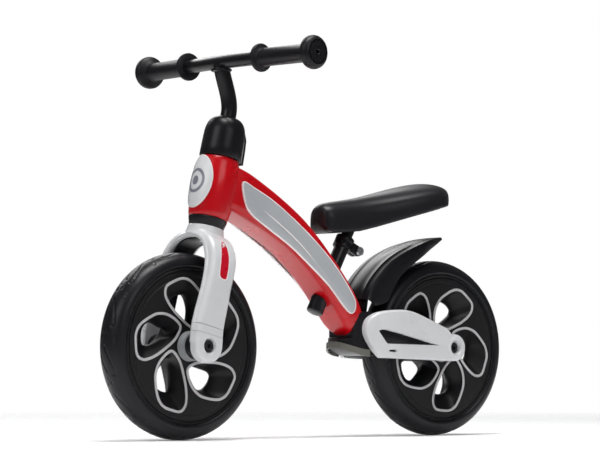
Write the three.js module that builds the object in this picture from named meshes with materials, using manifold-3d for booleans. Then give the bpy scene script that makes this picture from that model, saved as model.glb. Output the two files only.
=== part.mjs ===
// Balance bike for a toddler: two wheels, one curved beam, a fork with an arched
// crown, and a saddle and handlebar that both slide up and down.
// Millimetres. +X forward, +Y to the rider's left, +Z up.
// The origin is on the ground, midway between the two axles.
import * as THREE from 'three';
import { mergeVertices } from 'three/addons/utils/BufferGeometryUtils.js';
import Module from 'manifold-3d';

const wasm = await Module();
wasm.setup();

// ---- driving dimensions -------------------------------------------------
const fit = 0.3; // gap between pieces that touch

const wheelbase = 468;
const tyreRadius = 127;
const tyreHalfWidth = 24;
const rimRadius = 106; // where the tyre sits on the rim
const rimHalfWidth = 21;
const hubRadius = 20;
const frontHubReach = 33; // from the wheel's middle to the end of the hub sleeve
const rearHubReach = 28;
const axleRadius = 4;
const bearingRadius = 11;
const bearingWidth = 7;
const boltHeadRadius = 7.5;
const boltHeadHeight = 5;
const nutHeight = 6;

const headLean = 14; // degrees that the steering axis leans back
const forkOffset = 5; // axle ahead of the steering axis
const legInside = 50;
const legOutside = 66;
const forkTipRadius = 23;
const crownHeight = 168; // along the steering axis, from the axle's level
const collarHeight = 13;
const headTubeLength = 85;
const headTubeRadius = 27;
const headTubeBulge = 5;
const steererRadius = 14;
const steererBore = 11.4;
const stemRadius = 11;
const capTop = 325;
const capWall = 2.5;

const barHeight = 518.5; // above the ground
const barHalfLength = 187;
const barRadius = 9.5;
const barSweep = 14; // how far back the ends lie from the middle
const barForward = 162; // x of the middle of the bar
const gripRadius = 12.5;
const gripStart = 80; // from the bar's middle to the inner collar
const collarRadius = 19.5;
const gripFlangeRadius = 23;

const beamHalfWidth = 30;
const beamRounding = 8;
const panelThickness = 2.5;

const seatLean = 29; // degrees that the seat tube leans back
const seatFootX = -8; // lower end of the seat tube
const seatFootZ = 177;
const seatTubeRadius = 10.5;
const seatTubeBore = 8.6;
const seatTubeLength = 117;
const seatPostRadius = 8.2;
const endCapRadius = 12.5;
const endCapLength = 20;
const seatCollarRadius = 13.5;
const seatCollarLength = 17;

const saddleNose = -11; // x of the saddle's front tip
const saddleLength = 217;
const saddleNoseHalfWidth = 24;
const saddleRearHalfWidth = 62;
const saddleThickness = 36;
const saddleTilt = 12; // degrees, rising to the rear
const saddleFrontHeight = 291; // underside above the ground at the post

const yokeInside = 30;
const yokeOutside = 41.5;
const coverOutside = 52.5;
const coverBossRadius = 19.5;
const mudguardHalfWidth = 30;
const mudguardWall = 2.5;

const around = 20; // facets round small parts
const wheelFacets = 48;

// ---- colours ------------------------------------------------------------
function paint(colour, roughness, metalness = 0) {
  return () => new THREE.MeshStandardMaterial({ color: colour, roughness, metalness });
}
const redPaint = paint(0xc4001c, 0.2);
const whitePlastic = paint(0xe2e3e4, 0.35);
const greyPlastic = paint(0x9a9da0, 0.4);
const blackPlastic = paint(0x17171a, 0.55);
const blackPaint = paint(0x1c1c20, 0.35, 0.2);
const blackRubber = paint(0x121214, 0.8);
const steel = paint(0xa9acb0, 0.35, 0.9);

// ---- tools for making closed solids -------------------------------------
function merged(geometry) {
  const bare = geometry.index ? geometry.toNonIndexed() : geometry.clone();
  for (const name of Object.keys(bare.attributes)) {
    if (name !== 'position') bare.deleteAttribute(name);
  }
  bare.clearGroups();
  return mergeVertices(bare, 1e-4);
}

function signedVolume(positions, index) {
  const a = new THREE.Vector3();
  const b = new THREE.Vector3();
  const c = new THREE.Vector3();
  let total = 0;
  for (let i = 0; i < index.length; i += 3) {
    a.fromArray(positions, index[i] * 3);
    b.fromArray(positions, index[i + 1] * 3);
    c.fromArray(positions, index[i + 2] * 3);
    total += a.dot(b.cross(c)) / 6;
  }
  return total;
}

// a closed three.js shape as a manifold solid, with its faces pointing out
function solid(geometry) {
  const clean = merged(geometry);
  const positions = clean.attributes.position.array;
  const kept = [];
  const index = clean.index.array;
  for (let i = 0; i < index.length; i += 3) {
    const [p, q, r] = [index[i], index[i + 1], index[i + 2]];
    if (p !== q && q !== r && r !== p) kept.push(p, q, r);
  }
  if (signedVolume(positions, kept) < 0) {
    for (let i = 0; i < kept.length; i += 3) [kept[i], kept[i + 1]] = [kept[i + 1], kept[i]];
  }
  return new wasm.Manifold(new wasm.Mesh({
    numProp: 3,
    vertProperties: new Float32Array(positions),
    triVerts: new Uint32Array(kept),
  }));
}

function geometryOf(manifold) {
  const mesh = manifold.getMesh();
  const geometry = new THREE.BufferGeometry();
  geometry.setAttribute('position', new THREE.BufferAttribute(new Float32Array(mesh.vertProperties), 3));
  geometry.setIndex(new THREE.BufferAttribute(new Uint32Array(mesh.triVerts), 1));
  return geometry;
}

function join(first, ...rest) {
  return geometryOf(rest.reduce((sum, next) => sum.add(solid(next)), solid(first)));
}

function cut(first, ...rest) {
  return geometryOf(rest.reduce((sum, next) => sum.subtract(solid(next)), solid(first)));
}

function common(first, second) {
  return geometryOf(solid(first).intersect(solid(second)));
}

// vertices moved by a function of their place
function reshape(geometry, move) {
  const position = geometry.attributes.position;
  const point = new THREE.Vector3();
  for (let i = 0; i < position.count; i += 1) {
    point.fromBufferAttribute(position, i);
    move(point);
    position.setXYZ(i, point.x, point.y, point.z);
  }
  return geometry;
}

// a shape of revolution about Z from [radius, height] points
function turned(profile, segments = around) {
  const points = profile.map(([radius, height]) => new THREE.Vector2(radius, height));
  return new THREE.LatheGeometry(points, segments).rotateX(Math.PI / 2);
}

// the same about Y, for wheels and axles
function turnedAcross(profile, segments = around) {
  return turned(profile, segments).rotateX(-Math.PI / 2);
}

function tubeProfile(outer, inner, low, high) {
  return [[inner, low], [outer, low], [outer, high], [inner, high], [inner, low]];
}

function rodProfile(radius, low, high) {
  return [[0, low], [radius, low], [radius, high], [0, high]];
}

// a hexagon head or nut about Y
function hexAcross(radius, low, high) {
  const hex = new THREE.CylinderGeometry(radius, radius, high - low, 6);
  return hex.translate(0, (low + high) / 2, 0);
}

function outline(points) {
  const curve = new THREE.SplineCurve(points.map(([x, y]) => new THREE.Vector2(x, y)));
  return curve.getPoints(points.length * 2);
}

function shapeFrom(points) {
  return new THREE.Shape(points.map((p) => (Array.isArray(p) ? new THREE.Vector2(...p) : p)));
}

// a side view in (x, z) made into a plate between two y values
function sidePlate(shape, yLow, yHigh, rounding = 0, curveSegments = 12) {
  const depth = yHigh - yLow - 2 * rounding;
  const geometry = new THREE.ExtrudeGeometry(shape, {
    depth,
    curveSegments,
    bevelEnabled: rounding > 0,
    bevelThickness: rounding,
    bevelSize: rounding,
    bevelOffset: -rounding,
    bevelSegments: 3,
  });
  return geometry.rotateX(Math.PI / 2).translate(0, yHigh - rounding, 0);
}

function box(x0, x1, y0, y1, z0, z1) {
  const geometry = new THREE.BoxGeometry(x1 - x0, y1 - y0, z1 - z0);
  return geometry.translate((x0 + x1) / 2, (y0 + y1) / 2, (z0 + z1) / 2);
}

const bike = new THREE.Group();

function add(name, geometry, material, parent = bike) {
  const mesh = new THREE.Mesh(geometry, material());
  mesh.name = name;
  parent.add(mesh);
  return mesh;
}

function group(x, y, z, lean = 0) {
  const frame = new THREE.Group();
  frame.position.set(x, y, z);
  frame.rotation.y = THREE.MathUtils.degToRad(-lean);
  bike.add(frame);
  return frame;
}

const bothSides = [['left', 1], ['right', -1]];

// ---- wheels -------------------------------------------------------------
function tyreProfile() {
  const crown = [];
  const steps = 8;
  const shoulder = tyreRadius - rimRadius - 3;
  for (let i = 0; i <= steps; i += 1) {
    const angle = (Math.PI * i) / steps;
    const across = -tyreHalfWidth * Math.sign(Math.cos(angle)) * Math.abs(Math.cos(angle)) ** 0.9;
    crown.push([rimRadius + 3 + shoulder * Math.sin(angle) ** 0.9, across]);
  }
  const seat = rimRadius + fit;
  return [[seat, -tyreHalfWidth + 1], ...crown, [seat, tyreHalfWidth - 1], [seat, -tyreHalfWidth + 1]];
}

// one of the five openings, swept like a pinwheel blade
const openingCorners = [
  [24, 10], [44, -5], [56, -12], [69, -17], [79, -18], [88, -13],
  [90.5, 2], [90, 17], [83, 28], [59, 41], [50, 43],
  [37, 42], [22, 34], [16, 27],
];
function opening(turn, mirror) {
  const cosine = Math.cos(turn);
  const sine = Math.sin(turn);
  const placed = openingCorners.map(([x, y]) => [(x * cosine - y * sine) * mirror, x * sine + y * cosine]);
  const corners = placed.map(([x, y]) => new THREE.Vector3(x, y, 0));
  const loop = new THREE.CatmullRomCurve3(corners, true, 'centripetal');
  return loop.getPoints(openingCorners.length * 2).slice(0, -1).map((p) => new THREE.Vector2(p.x, p.y));
}

// the disc has flat faces with a shallow step by the tyre
const discRadius = rimRadius - 4;
const discStep = 1;
function rimGeometry(hubReach, mirror, phase) {
  const hubFace = hubReach - bearingWidth;
  const half = [
    [bearingRadius + fit, hubFace], [hubRadius - 2, hubFace], [hubRadius - 2, rimHalfWidth],
    [discRadius, rimHalfWidth - discStep], [discRadius + 1, rimHalfWidth], [rimRadius, rimHalfWidth],
  ];
  const other = half.map(([r, y]) => [r, -y]);
  const disc = turnedAcross([...other, ...half.slice().reverse(), other[0]], wheelFacets);
  const blades = [];
  for (let i = 0; i < 5; i += 1) {
    const blade = new THREE.Shape(opening(phase + (i * Math.PI * 2) / 5, mirror));
    blades.push(sidePlate(blade, -rimHalfWidth - 5, rimHalfWidth + 5));
  }
  return cut(disc, ...blades);
}

// a wheel's own parts, about its axle
function wheel(name, parent, hubReach, mirror, phase) {
  add(`${name}_tyre`, merged(turnedAcross(tyreProfile(), wheelFacets)), blackRubber, parent);
  add(`${name}_rim`, rimGeometry(hubReach, mirror, phase), blackPlastic, parent);
  for (const [side, sign] of bothSides) {
    const inner = hubReach - bearingWidth + fit;
    const sleeve = turnedAcross([
      [hubRadius - 2 + fit, rimHalfWidth + fit],
      [hubRadius, rimHalfWidth + fit],
      [hubRadius, hubReach],
      [bearingRadius + fit, hubReach],
      [bearingRadius + fit, inner],
      [hubRadius - 2 + fit, inner],
      [hubRadius - 2 + fit, rimHalfWidth + fit],
    ]);
    const bearing = turnedAcross(tubeProfile(bearingRadius, axleRadius + 0.05, inner, inner + bearingWidth - 1));
    if (sign < 0) {
      sleeve.rotateX(Math.PI);
      bearing.rotateX(Math.PI);
    }
    add(`${name}_hub_sleeve_${side}`, merged(sleeve), greyPlastic, parent);
    add(`${name}_bearing_${side}`, merged(bearing), steel, parent);
  }
}

// the axle bolt, its nut and the spacers, which stay still while the wheel turns
function axle(name, parent, hubReach, headStart, spacerRadius, legFace) {
  const shaft = turnedAcross(rodProfile(axleRadius - 0.05, -headStart - nutHeight, headStart));
  const head = turnedAcross(rodProfile(boltHeadRadius, headStart - 0.01, headStart + boltHeadHeight), 24);
  const socket = hexAcross(3.4, headStart + 2, headStart + boltHeadHeight + 1);
  add(`${name}_axle`, cut(join(shaft, head), socket), steel, parent);
  const nut = hexAcross(boltHeadRadius, -headStart - boltHeadHeight, -headStart);
  const bore = turnedAcross(rodProfile(axleRadius + fit, -headStart - 10, -headStart + 1), 24);
  add(`${name}_axle_nut`, cut(nut, bore), steel, parent);
  for (const [side, sign] of bothSides) {
    const from = hubReach + fit;
    const spacer = turnedAcross(tubeProfile(spacerRadius, axleRadius + fit, from, legFace - fit));
    if (sign < 0) spacer.rotateX(Math.PI);
    add(`${name}_spacer_${side}`, merged(spacer), blackPlastic, parent);
  }
}

const frontHub = group(wheelbase / 2, 0, tyreRadius);
const rearHub = group(-wheelbase / 2, 0, tyreRadius);
// the rear wheel is the front one turned round
const rearPhase = THREE.MathUtils.degToRad(-17.5);
wheel('front', frontHub, frontHubReach, 1, 0);
wheel('rear', rearHub, rearHubReach, -1, rearPhase);
const headSink = 8;
axle('front', frontHub, frontHubReach, legOutside - headSink, 16, legInside);
axle('rear', rearHub, rearHubReach, yokeOutside + fit, 14, yokeInside);

// ---- fork ---------------------------------------------------------------
// local frame: Z up the steering axis, zero at the axle's level
const lean = THREE.MathUtils.degToRad(headLean);
const steeringX = wheelbase / 2 - forkOffset * Math.cos(lean);
const steeringZ = tyreRadius - forkOffset * Math.sin(lean);
const steering = group(steeringX, 0, steeringZ, headLean);
const collarTop = crownHeight + collarHeight;
const headTop = collarTop + headTubeLength;

const archRise = crownHeight - 17; // underside of the arch
const outerArch = [
  [legOutside, 0], [legOutside, 40], [legOutside - 0.5, 72], [legOutside - 3, 100],
  [legOutside - 8, 127], [legOutside - 21, 147], [legOutside - 38, 157], [20, crownHeight - 8],
];
const innerArch = [
  [legInside, 0], [legInside, 40], [legInside - 0.5, 76], [legInside - 3, 100],
  [legInside - 9, 123], [legInside - 22, archRise - 8], [legInside - 38, archRise - 1], [0, archRise],
];

// the arch seen from the front, between two offsets from its faces
function archShape(outer, inner) {
  const outside = outline(outer);
  const inside = outline(inner);
  const mirror = (points) => points.map((p) => new THREE.Vector2(-p.x, p.y)).reverse();
  return new THREE.Shape([
    ...outside, ...mirror(outside), ...mirror(inside).reverse().slice(0, -1), ...inside.slice().reverse(),
  ]);
}

const legRear = -14;
const legFrontHigh = 25;
const legFrontLow = 32;
function legDepth(point) {
  const low = THREE.MathUtils.clamp((120 - point.z) / 100, 0, 1);
  const front = THREE.MathUtils.lerp(legFrontHigh, legFrontLow, low);
  point.x = THREE.MathUtils.lerp(legRear, front, point.x);
}

function archSolid(shape, from, to, rounding = 0) {
  const scale = legFrontHigh - legRear;
  const geometry = new THREE.ExtrudeGeometry(shape, {
    depth: (to - from) * scale - 2 * rounding,
    bevelEnabled: rounding > 0,
    bevelThickness: rounding,
    bevelSize: rounding,
    bevelOffset: -rounding,
    bevelSegments: 2,
  });
  geometry.translate(0, 0, from * scale + rounding);
  // shape x is the bike's y and shape y the fork's height
  geometry.rotateX(Math.PI / 2).rotateZ(Math.PI / 2);
  return reshape(geometry, (point) => {
    point.x /= scale;
    legDepth(point);
  });
}

function forkGeometry() {
  const arch = archSolid(archShape(outerArch, innerArch), 0, 1, 4);
  const crown = turned([
    [0, archRise + 4], [26, archRise + 4], [25, crownHeight - 6], [24.6, crownHeight], [0, crownHeight],
  ]);
  const tips = [];
  const recesses = [];
  for (const [, sign] of bothSides) {
    const tip = turnedAcross(rodProfile(forkTipRadius, legInside, legOutside), around);
    const recess = turnedAcross([
      [0, legInside - 2], [axleRadius + fit, legInside - 2], [axleRadius + fit, legOutside - headSink - fit],
      [boltHeadRadius + 1, legOutside - headSink - fit], [boltHeadRadius + 2.5, legOutside + 2],
      [0, legOutside + 2],
    ], 24);
    if (sign < 0) {
      tip.rotateX(Math.PI);
      recess.rotateX(Math.PI);
    }
    tips.push(tip.translate(forkOffset, 0, 0));
    recesses.push(recess.translate(forkOffset, 0, 0));
  }
  const steererSeat = turned(rodProfile(steererRadius + fit, archRise + 3, crownHeight + 2));
  return cut(join(arch, crown, ...tips), ...recesses, steererSeat);
}
add('fork', forkGeometry(), whitePlastic, steering);

// dark lining on the inside of the arch
const liningWall = 2;
function inset(points, amount) {
  return points.map(([across, height]) => [Math.max(across - amount, 0), height - (across < 45 ? amount : 0)]);
}
const liningTop = inset(innerArch.slice(2), fit);
const liningLow = inset(innerArch.slice(2), fit + liningWall);
add('fork_lining', merged(archSolid(archShape(liningTop, liningLow), 0.14, 0.86)), blackPlastic, steering);

const steererLow = archRise + 3 + fit;
const steererTop = headTop + 30;
add('steerer_tube', merged(turned(tubeProfile(steererRadius, steererBore, steererLow, steererTop))),
  steel, steering);

// ---- head set -----------------------------------------------------------
const cupRadius = steererRadius + 7;
const bearingDepth = 8;
const bearingPlay = fit;
add('lower_headset_collar', merged(turned([
  [steererRadius + 1, crownHeight + fit], [24, crownHeight + fit], [headTubeRadius, collarTop - fit],
  [steererRadius + 1, collarTop - fit], [steererRadius + 1, crownHeight + fit],
])), blackPlastic, steering);
const bearingSeats = [['lower', collarTop + 1], ['upper', headTop - bearingDepth - 1]];
for (const [name, from] of bearingSeats) {
  add(`${name}_headset_bearing`, merged(turned(
    tubeProfile(cupRadius, steererRadius + bearingPlay, from, from + bearingDepth),
  )), steel, steering);
}

// ---- dome cap and the clamp inside it -----------------------------------
const clampLow = headTop + 8;
const clampHigh = headTop + 26;
const clampRadius = steererRadius + 4;
const clampBoltX = -clampRadius - 2;
const clampBoltZ = (clampLow + clampHigh) / 2;
const clampBoltRadius = 1.6;
function steererClamp() {
  const ring = turned(tubeProfile(clampRadius, steererRadius + fit, clampLow, clampHigh));
  const ears = box(-clampRadius - 5, -steererRadius - 1.5, -6.5, 6.5, clampLow, clampHigh);
  const slot = box(-clampRadius - 6, -steererRadius + 2, -1.2, 1.2, clampLow - 1, clampHigh + 1);
  const hole = turnedAcross(rodProfile(clampBoltRadius + fit, -10, 10), 16).translate(clampBoltX, 0, clampBoltZ);
  return cut(join(ring, ears), slot, hole);
}
add('steerer_clamp', steererClamp(), blackPaint, steering);
const clampBolt = join(
  turnedAcross(rodProfile(clampBoltRadius, -8, 8), 16),
  turnedAcross(rodProfile(2.7, 6.5 + fit, 9), 16),
);
add('steerer_clamp_bolt', clampBolt.translate(clampBoltX, 0, clampBoltZ), steel, steering);

const capLow = headTop + 1;
const capRadius = headTubeRadius + 0.7;
const domeStart = capTop - 26;
const tongueHalfWidth = 10;
const tongueDepth = 3;
function capProfile(offset) {
  const dome = [];
  const steps = 5;
  for (let i = 0; i <= steps; i += 1) {
    const angle = (Math.PI / 2) * (i / steps);
    const radius = stemRadius + 0.5 + (capRadius - 1.2 - stemRadius - 0.5) * Math.cos(angle);
    dome.push([radius - offset * Math.cos(angle), domeStart + (capTop - domeStart - offset) * Math.sin(angle)]);
  }
  return dome;
}
function headCap() {
  const outside = capProfile(0);
  const inside = capProfile(capWall).slice(0, -1).reverse();
  return merged(turned([
    [capRadius, capLow], ...outside, [stemRadius + 0.5, capTop - capWall], ...inside,
    [capRadius - capWall, capLow], [capRadius, capLow],
  ]));
}
add('head_cap', headCap(), blackPlastic, steering);
const tongueLow = capLow - 4;
const tongueHigh = domeStart + 12;
const tongueX = -capRadius - 1.2;
function tongue() {
  const shape = shapeFrom([
    [tongueX - 1.6, tongueLow], [tongueX, tongueLow], [tongueX, domeStart],
    [tongueX - 0.6, tongueHigh], [tongueX - tongueDepth, domeStart - 2], [tongueX - tongueDepth, capLow + 8],
  ]);
  return merged(sidePlate(shape, -tongueHalfWidth, tongueHalfWidth));
}
add('cap_tongue', tongue(), blackPlastic, steering);

// ---- stem, bar and grips ------------------------------------------------
const barGroup = group(barForward, 0, barHeight);
const stemFoot = headTop - 50;
const barBend = 40; // half the length that the middle bend takes
const barSlope = barSweep / (barHalfLength - barBend / 2);

// a solid moved from one group's frame into another's
function carry(geometry, from, to) {
  from.updateMatrixWorld(true);
  to.updateMatrixWorld(true);
  return geometry.applyMatrix4(from.matrixWorld).applyMatrix4(to.matrixWorld.clone().invert());
}

function circleShape(radius, sides) {
  const shape = new THREE.Shape();
  for (let i = 0; i < sides; i += 1) {
    const angle = (Math.PI * 2 * i) / sides;
    if (i === 0) shape.moveTo(radius, 0);
    else shape.lineTo(radius * Math.cos(angle), radius * Math.sin(angle));
  }
  shape.closePath();
  return shape;
}
function along(curve, radius, steps, sides) {
  return new THREE.ExtrudeGeometry(circleShape(radius, sides), {
    steps, extrudePath: curve, bevelEnabled: false,
  });
}

// two straight ends, swept back, and a gentle bend between them
const barApex = (barSlope * barBend) / 2;
function barPoint(across) {
  return new THREE.Vector3(barApex - barSlope * Math.abs(across), across, 0);
}
const barInset = 4; // the tube ends inside the grips
function barTube(radius) {
  const reach = barHalfLength - barInset;
  const path = new THREE.CurvePath();
  path.add(new THREE.LineCurve3(barPoint(-reach), barPoint(-barBend)));
  const apex = new THREE.Vector3(barApex, 0, 0);
  path.add(new THREE.QuadraticBezierCurve3(barPoint(-barBend), apex, barPoint(barBend)));
  path.add(new THREE.LineCurve3(barPoint(barBend), barPoint(reach)));
  return along(path, radius, 18, 16);
}
add('handlebar_tube', merged(barTube(barRadius)), blackPaint, barGroup);

function stemGeometry() {
  const top = carry(new THREE.BufferGeometry().setFromPoints([new THREE.Vector3()]), barGroup, steering);
  const [topX, , topZ] = top.attributes.position.array;
  const straightTop = new THREE.Vector3(0, 0, capTop + 1);
  const stemPath = new THREE.CurvePath();
  stemPath.add(new THREE.LineCurve3(new THREE.Vector3(0, 0, stemFoot), straightTop));
  stemPath.add(new THREE.CubicBezierCurve3(
    straightTop,
    new THREE.Vector3(0, 0, capTop + 24),
    new THREE.Vector3(topX * 0.72, 0, topZ - 24),
    new THREE.Vector3(topX, 0, topZ),
  ));
  const collar = new THREE.CylinderGeometry(14.5, stemRadius, 6, 20).rotateX(Math.PI / 2);
  collar.translate(0, 0, -barRadius - 2);
  return cut(
    join(along(stemPath, stemRadius, 14, 18), carry(collar, barGroup, steering)),
    carry(barTube(barRadius + fit), barGroup, steering),
    carry(box(-40, 40, -40, 40, 0, 40), barGroup, steering),
  );
}
add('stem', stemGeometry(), blackPaint, steering);

function gripProfile(end) {
  return [
    [barRadius + fit, gripStart - 3], [collarRadius - 1.5, gripStart - 3], [collarRadius, gripStart - 1.5],
    [collarRadius, gripStart + 0.5], [collarRadius - 1.5, gripStart + 2], [gripRadius + 1, gripStart + 3],
    [gripRadius, gripStart + 6], [gripRadius, end - 17], [gripRadius + 2, end - 12],
    [gripFlangeRadius - 2, end - 7], [gripFlangeRadius, end - 5], [gripFlangeRadius, end - 2],
    [gripFlangeRadius - 1.5, end], [2, end], [2, end - barInset + 1], [barRadius + fit, end - barInset + 1],
    [barRadius + fit, gripStart - 3],
  ];
}
// the grips run along the straight, swept ends of the bar
function grip(sign) {
  const angle = Math.atan(barSlope);
  const length = barHalfLength / Math.cos(angle);
  const geometry = turnedAcross(gripProfile(length));
  geometry.rotateZ(angle);
  geometry.translate(barApex, 0, 0);
  return merged(sign > 0 ? geometry : geometry.rotateX(Math.PI));
}
for (const [side, sign] of bothSides) add(`grip_${side}`, grip(sign), blackRubber, barGroup);

// ---- frame beam ---------------------------------------------------------
// stations along the beam: x, half depth, z, and the share of the full width
const beamStations = [
  [172, 30, 350, 0.74], [141, 29.5, 336, 1], [88, 26.8, 309, 1], [43, 24, 280.5, 1], [-4, 21, 238.5, 1],
  [-42, 19, 194, 1], [-57, 15.5, 171, 0.93], [-64.5, 9.5, 152, 0.6], [-65.5, 4, 142.5, 0.3],
];
const beamSteps = 22;

function roundedSection(halfWidth, rounding) {
  const share = rounding / 26; // of the half depth
  const section = new THREE.Shape();
  const corners = [[1, 1, 0], [-1, 1, 90], [-1, -1, 180], [1, -1, 270]];
  for (const [x, y, from] of corners) {
    for (let step = 0; step <= 2; step += 1) {
      const angle = THREE.MathUtils.degToRad(from + step * 45);
      const px = x * (1 - share) + share * Math.cos(angle);
      const py = y * (halfWidth - rounding) + rounding * Math.sin(angle);
      if (from === 0 && step === 0) section.moveTo(px, py);
      else section.lineTo(px, py);
    }
  }
  section.closePath();
  return section;
}

// a rounded bar bent along the stations and grown by a clearance
function beamSolid(grow = 0) {
  const spots = beamStations.map(([x, depth, z]) => new THREE.Vector3(x, depth, z));
  const curve = new THREE.CatmullRomCurve3(spots, false, 'centripetal');
  const section = roundedSection(beamHalfWidth + grow, beamRounding);
  const bar = new THREE.ExtrudeGeometry(section, { depth: 1, steps: beamSteps, bevelEnabled: false });
  return reshape(merged(bar), (point) => {
    const here = curve.getPoint(point.z);
    const ahead = curve.getTangent(point.z);
    const length = Math.hypot(ahead.x, ahead.z);
    const depth = point.x * (here.y + grow);
    const end = point.z === 1 ? grow : 0;
    const station = Math.min(point.z * (beamStations.length - 1), beamStations.length - 1.001);
    const before = Math.floor(station);
    point.y *= THREE.MathUtils.lerp(beamStations[before][3], beamStations[before + 1][3], station - before);
    point.x = here.x - (ahead.z / length) * depth + (ahead.x / length) * end;
    point.z = here.z + (ahead.x / length) * depth + (ahead.z / length) * end;
  });
}

function inSteering(geometry) {
  return geometry.rotateY(-lean).translate(steeringX, 0, steeringZ);
}

function headTubeOutside() {
  const steps = 6;
  const points = [[0, collarTop]];
  for (let i = 0; i <= steps; i += 1) {
    const share = i / steps;
    const bulge = headTubeBulge * Math.sin(Math.PI * share);
    points.push([headTubeRadius + bulge, collarTop + headTubeLength * share]);
  }
  points.push([0, headTop]);
  return inSteering(turned(points, 40));
}

const seatAngle = THREE.MathUtils.degToRad(seatLean);
function inSeat(geometry) {
  return geometry.rotateY(-seatAngle).translate(seatFootX, 0, seatFootZ);
}

const badgeDepth = 2.6;
const badgeHalfHeight = 38;
const badgeHalfWidth = 24;
const badgeMiddle = collarTop + headTubeLength * 0.52;
function badgeZone(depth) {
  const oval = new THREE.Shape();
  oval.absellipse(0, badgeMiddle, badgeHalfWidth, badgeHalfHeight, 0, Math.PI * 2);
  const plug = new THREE.ExtrudeGeometry(oval, { depth: 60, bevelEnabled: false, curveSegments: 14 });
  return plug.rotateX(Math.PI / 2).rotateZ(Math.PI / 2).translate(depth, 0, 0);
}
// the badge follows the head tube's barrel shape
function badge() {
  const skin = (grow) => {
    const points = [[0, collarTop + 1]];
    for (let i = 0; i <= 6; i += 1) {
      const share = i / 6;
      const bulge = headTubeBulge * Math.sin(Math.PI * share);
      points.push([headTubeRadius + bulge + grow, collarTop + headTubeLength * share]);
    }
    points.push([0, headTop]);
    return turned(points, 40);
  };
  const shell = cut(skin(fit + badgeDepth), skin(fit));
  return common(shell, badgeZone(5));
}
add('head_badge', badge(), greyPlastic, steering);

function beamGeometry() {
  const bore = inSteering(turned(rodProfile(steererRadius + 3, collarTop - 1, headTop + 1)));
  const seats = bearingSeats.map(([name, from]) => inSteering(turned(rodProfile(
    cupRadius + fit,
    name === 'lower' ? collarTop - 1 : from - fit,
    name === 'lower' ? from + bearingDepth + fit : headTop + 1,
  ))));
  const seatHole = inSeat(turned(rodProfile(seatTubeRadius + fit, -20, seatTubeLength + 40)));
  const capSeat = inSeat(turned(rodProfile(endCapRadius + fit, -20, endCapLength + fit)));
  return cut(join(beamSolid(), headTubeOutside()), bore, ...seats, seatHole, capSeat);
}
add('frame_beam', beamGeometry(), redPaint);

const panelTop = [[148, 352], [130, 345], [95, 328], [53.5, 301], [20, 276], [-12, 248], [-38, 219], [-56, 193]];
const panelLow = [[-57, 184], [-54, 177], [-48, 175], [-8, 213], [30, 243], [62, 266], [110, 294], [134, 309],
  [143, 320]];
function panelShape() {
  const lower = outline(panelLow);
  return new THREE.Shape([...outline(panelTop), ...lower]);
}
for (const [side, sign] of bothSides) {
  const face = beamHalfWidth + fit;
  const low = sign > 0 ? face : -face - panelThickness;
  add(`side_panel_${side}`, merged(sidePlate(panelShape(), low, low + panelThickness)), greyPlastic);
}

// ---- seat tube, clamp and post ------------------------------------------
// local frame: Z up the seat tube, zero at its lower end
const seatFrame = group(seatFootX, 0, seatFootZ, seatLean);
const seatTube = turned(tubeProfile(seatTubeRadius, seatTubeBore, 2, seatTubeLength));
add('seat_tube', merged(seatTube), blackPaint, seatFrame);
function endCap() {
  const shell = turned([
    [0, -1.5], [endCapRadius - 2.5, -1.5], [endCapRadius - 0.5, 0.5], [endCapRadius - 0.5, endCapLength - 3],
    [endCapRadius, endCapLength - 2], [endCapRadius, endCapLength], [seatTubeRadius + fit, endCapLength],
    [seatTubeRadius + fit, 2 - fit], [0, 2 - fit],
  ]);
  return merged(shell);
}
add('seat_tube_end_cap', endCap(), blackPlastic, seatFrame);

const collarFoot = seatTubeLength - seatCollarLength + 4;
const collarHead = collarFoot + seatCollarLength;
const seatBoltX = -seatCollarRadius - 11;
const seatBoltZ = collarFoot + 9;
const seatBoltRadius = 2.5;
const earHalf = 8;
function seatClamp() {
  const ring = turned([
    [seatTubeRadius + fit, collarFoot], [seatCollarRadius, collarFoot], [seatCollarRadius, collarHead],
    [seatPostRadius + 0.4, collarHead], [seatPostRadius + 0.4, seatTubeLength + fit],
    [seatTubeRadius + fit, seatTubeLength + fit], [seatTubeRadius + fit, collarFoot],
  ]);
  const ears = new THREE.Shape();
  ears.moveTo(-seatTubeRadius - 1.5, collarHead - 3);
  ears.lineTo(seatBoltX, seatBoltZ + 7);
  ears.absarc(seatBoltX, seatBoltZ, 7, Math.PI / 2, Math.PI * 1.5);
  ears.lineTo(-seatTubeRadius - 1.5, collarFoot + 1);
  const lugs = sidePlate(ears, -earHalf, earHalf);
  const slot = box(-60, -seatPostRadius - 1, -1.2, 1.2, collarFoot - 2, collarHead + 2);
  const hole = turnedAcross(rodProfile(seatBoltRadius + fit, -20, 20), 16).translate(seatBoltX, 0, seatBoltZ);
  return cut(join(ring, lugs), slot, hole);
}
add('seat_clamp', seatClamp(), blackPlastic, seatFrame);
function seatBolt() {
  const shaft = turnedAcross(rodProfile(seatBoltRadius, -earHalf - 5, earHalf + 1), 16);
  const head = turnedAcross(rodProfile(4.8, earHalf + fit, earHalf + 5), 20);
  const socket = hexAcross(2.4, earHalf + 2.5, earHalf + 6);
  return cut(join(shaft, head), socket).translate(seatBoltX, 0, seatBoltZ);
}
add('seat_clamp_bolt', seatBolt(), steel, seatFrame);
const seatNut = cut(
  hexAcross(4.8, -earHalf - 4, -earHalf - fit),
  turnedAcross(rodProfile(seatBoltRadius + fit, -20, 0), 16),
);
add('seat_clamp_nut', seatNut.translate(seatBoltX, 0, seatBoltZ), steel, seatFrame);

const postFoot = 8;
const postHead = collarHead + 24;

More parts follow.
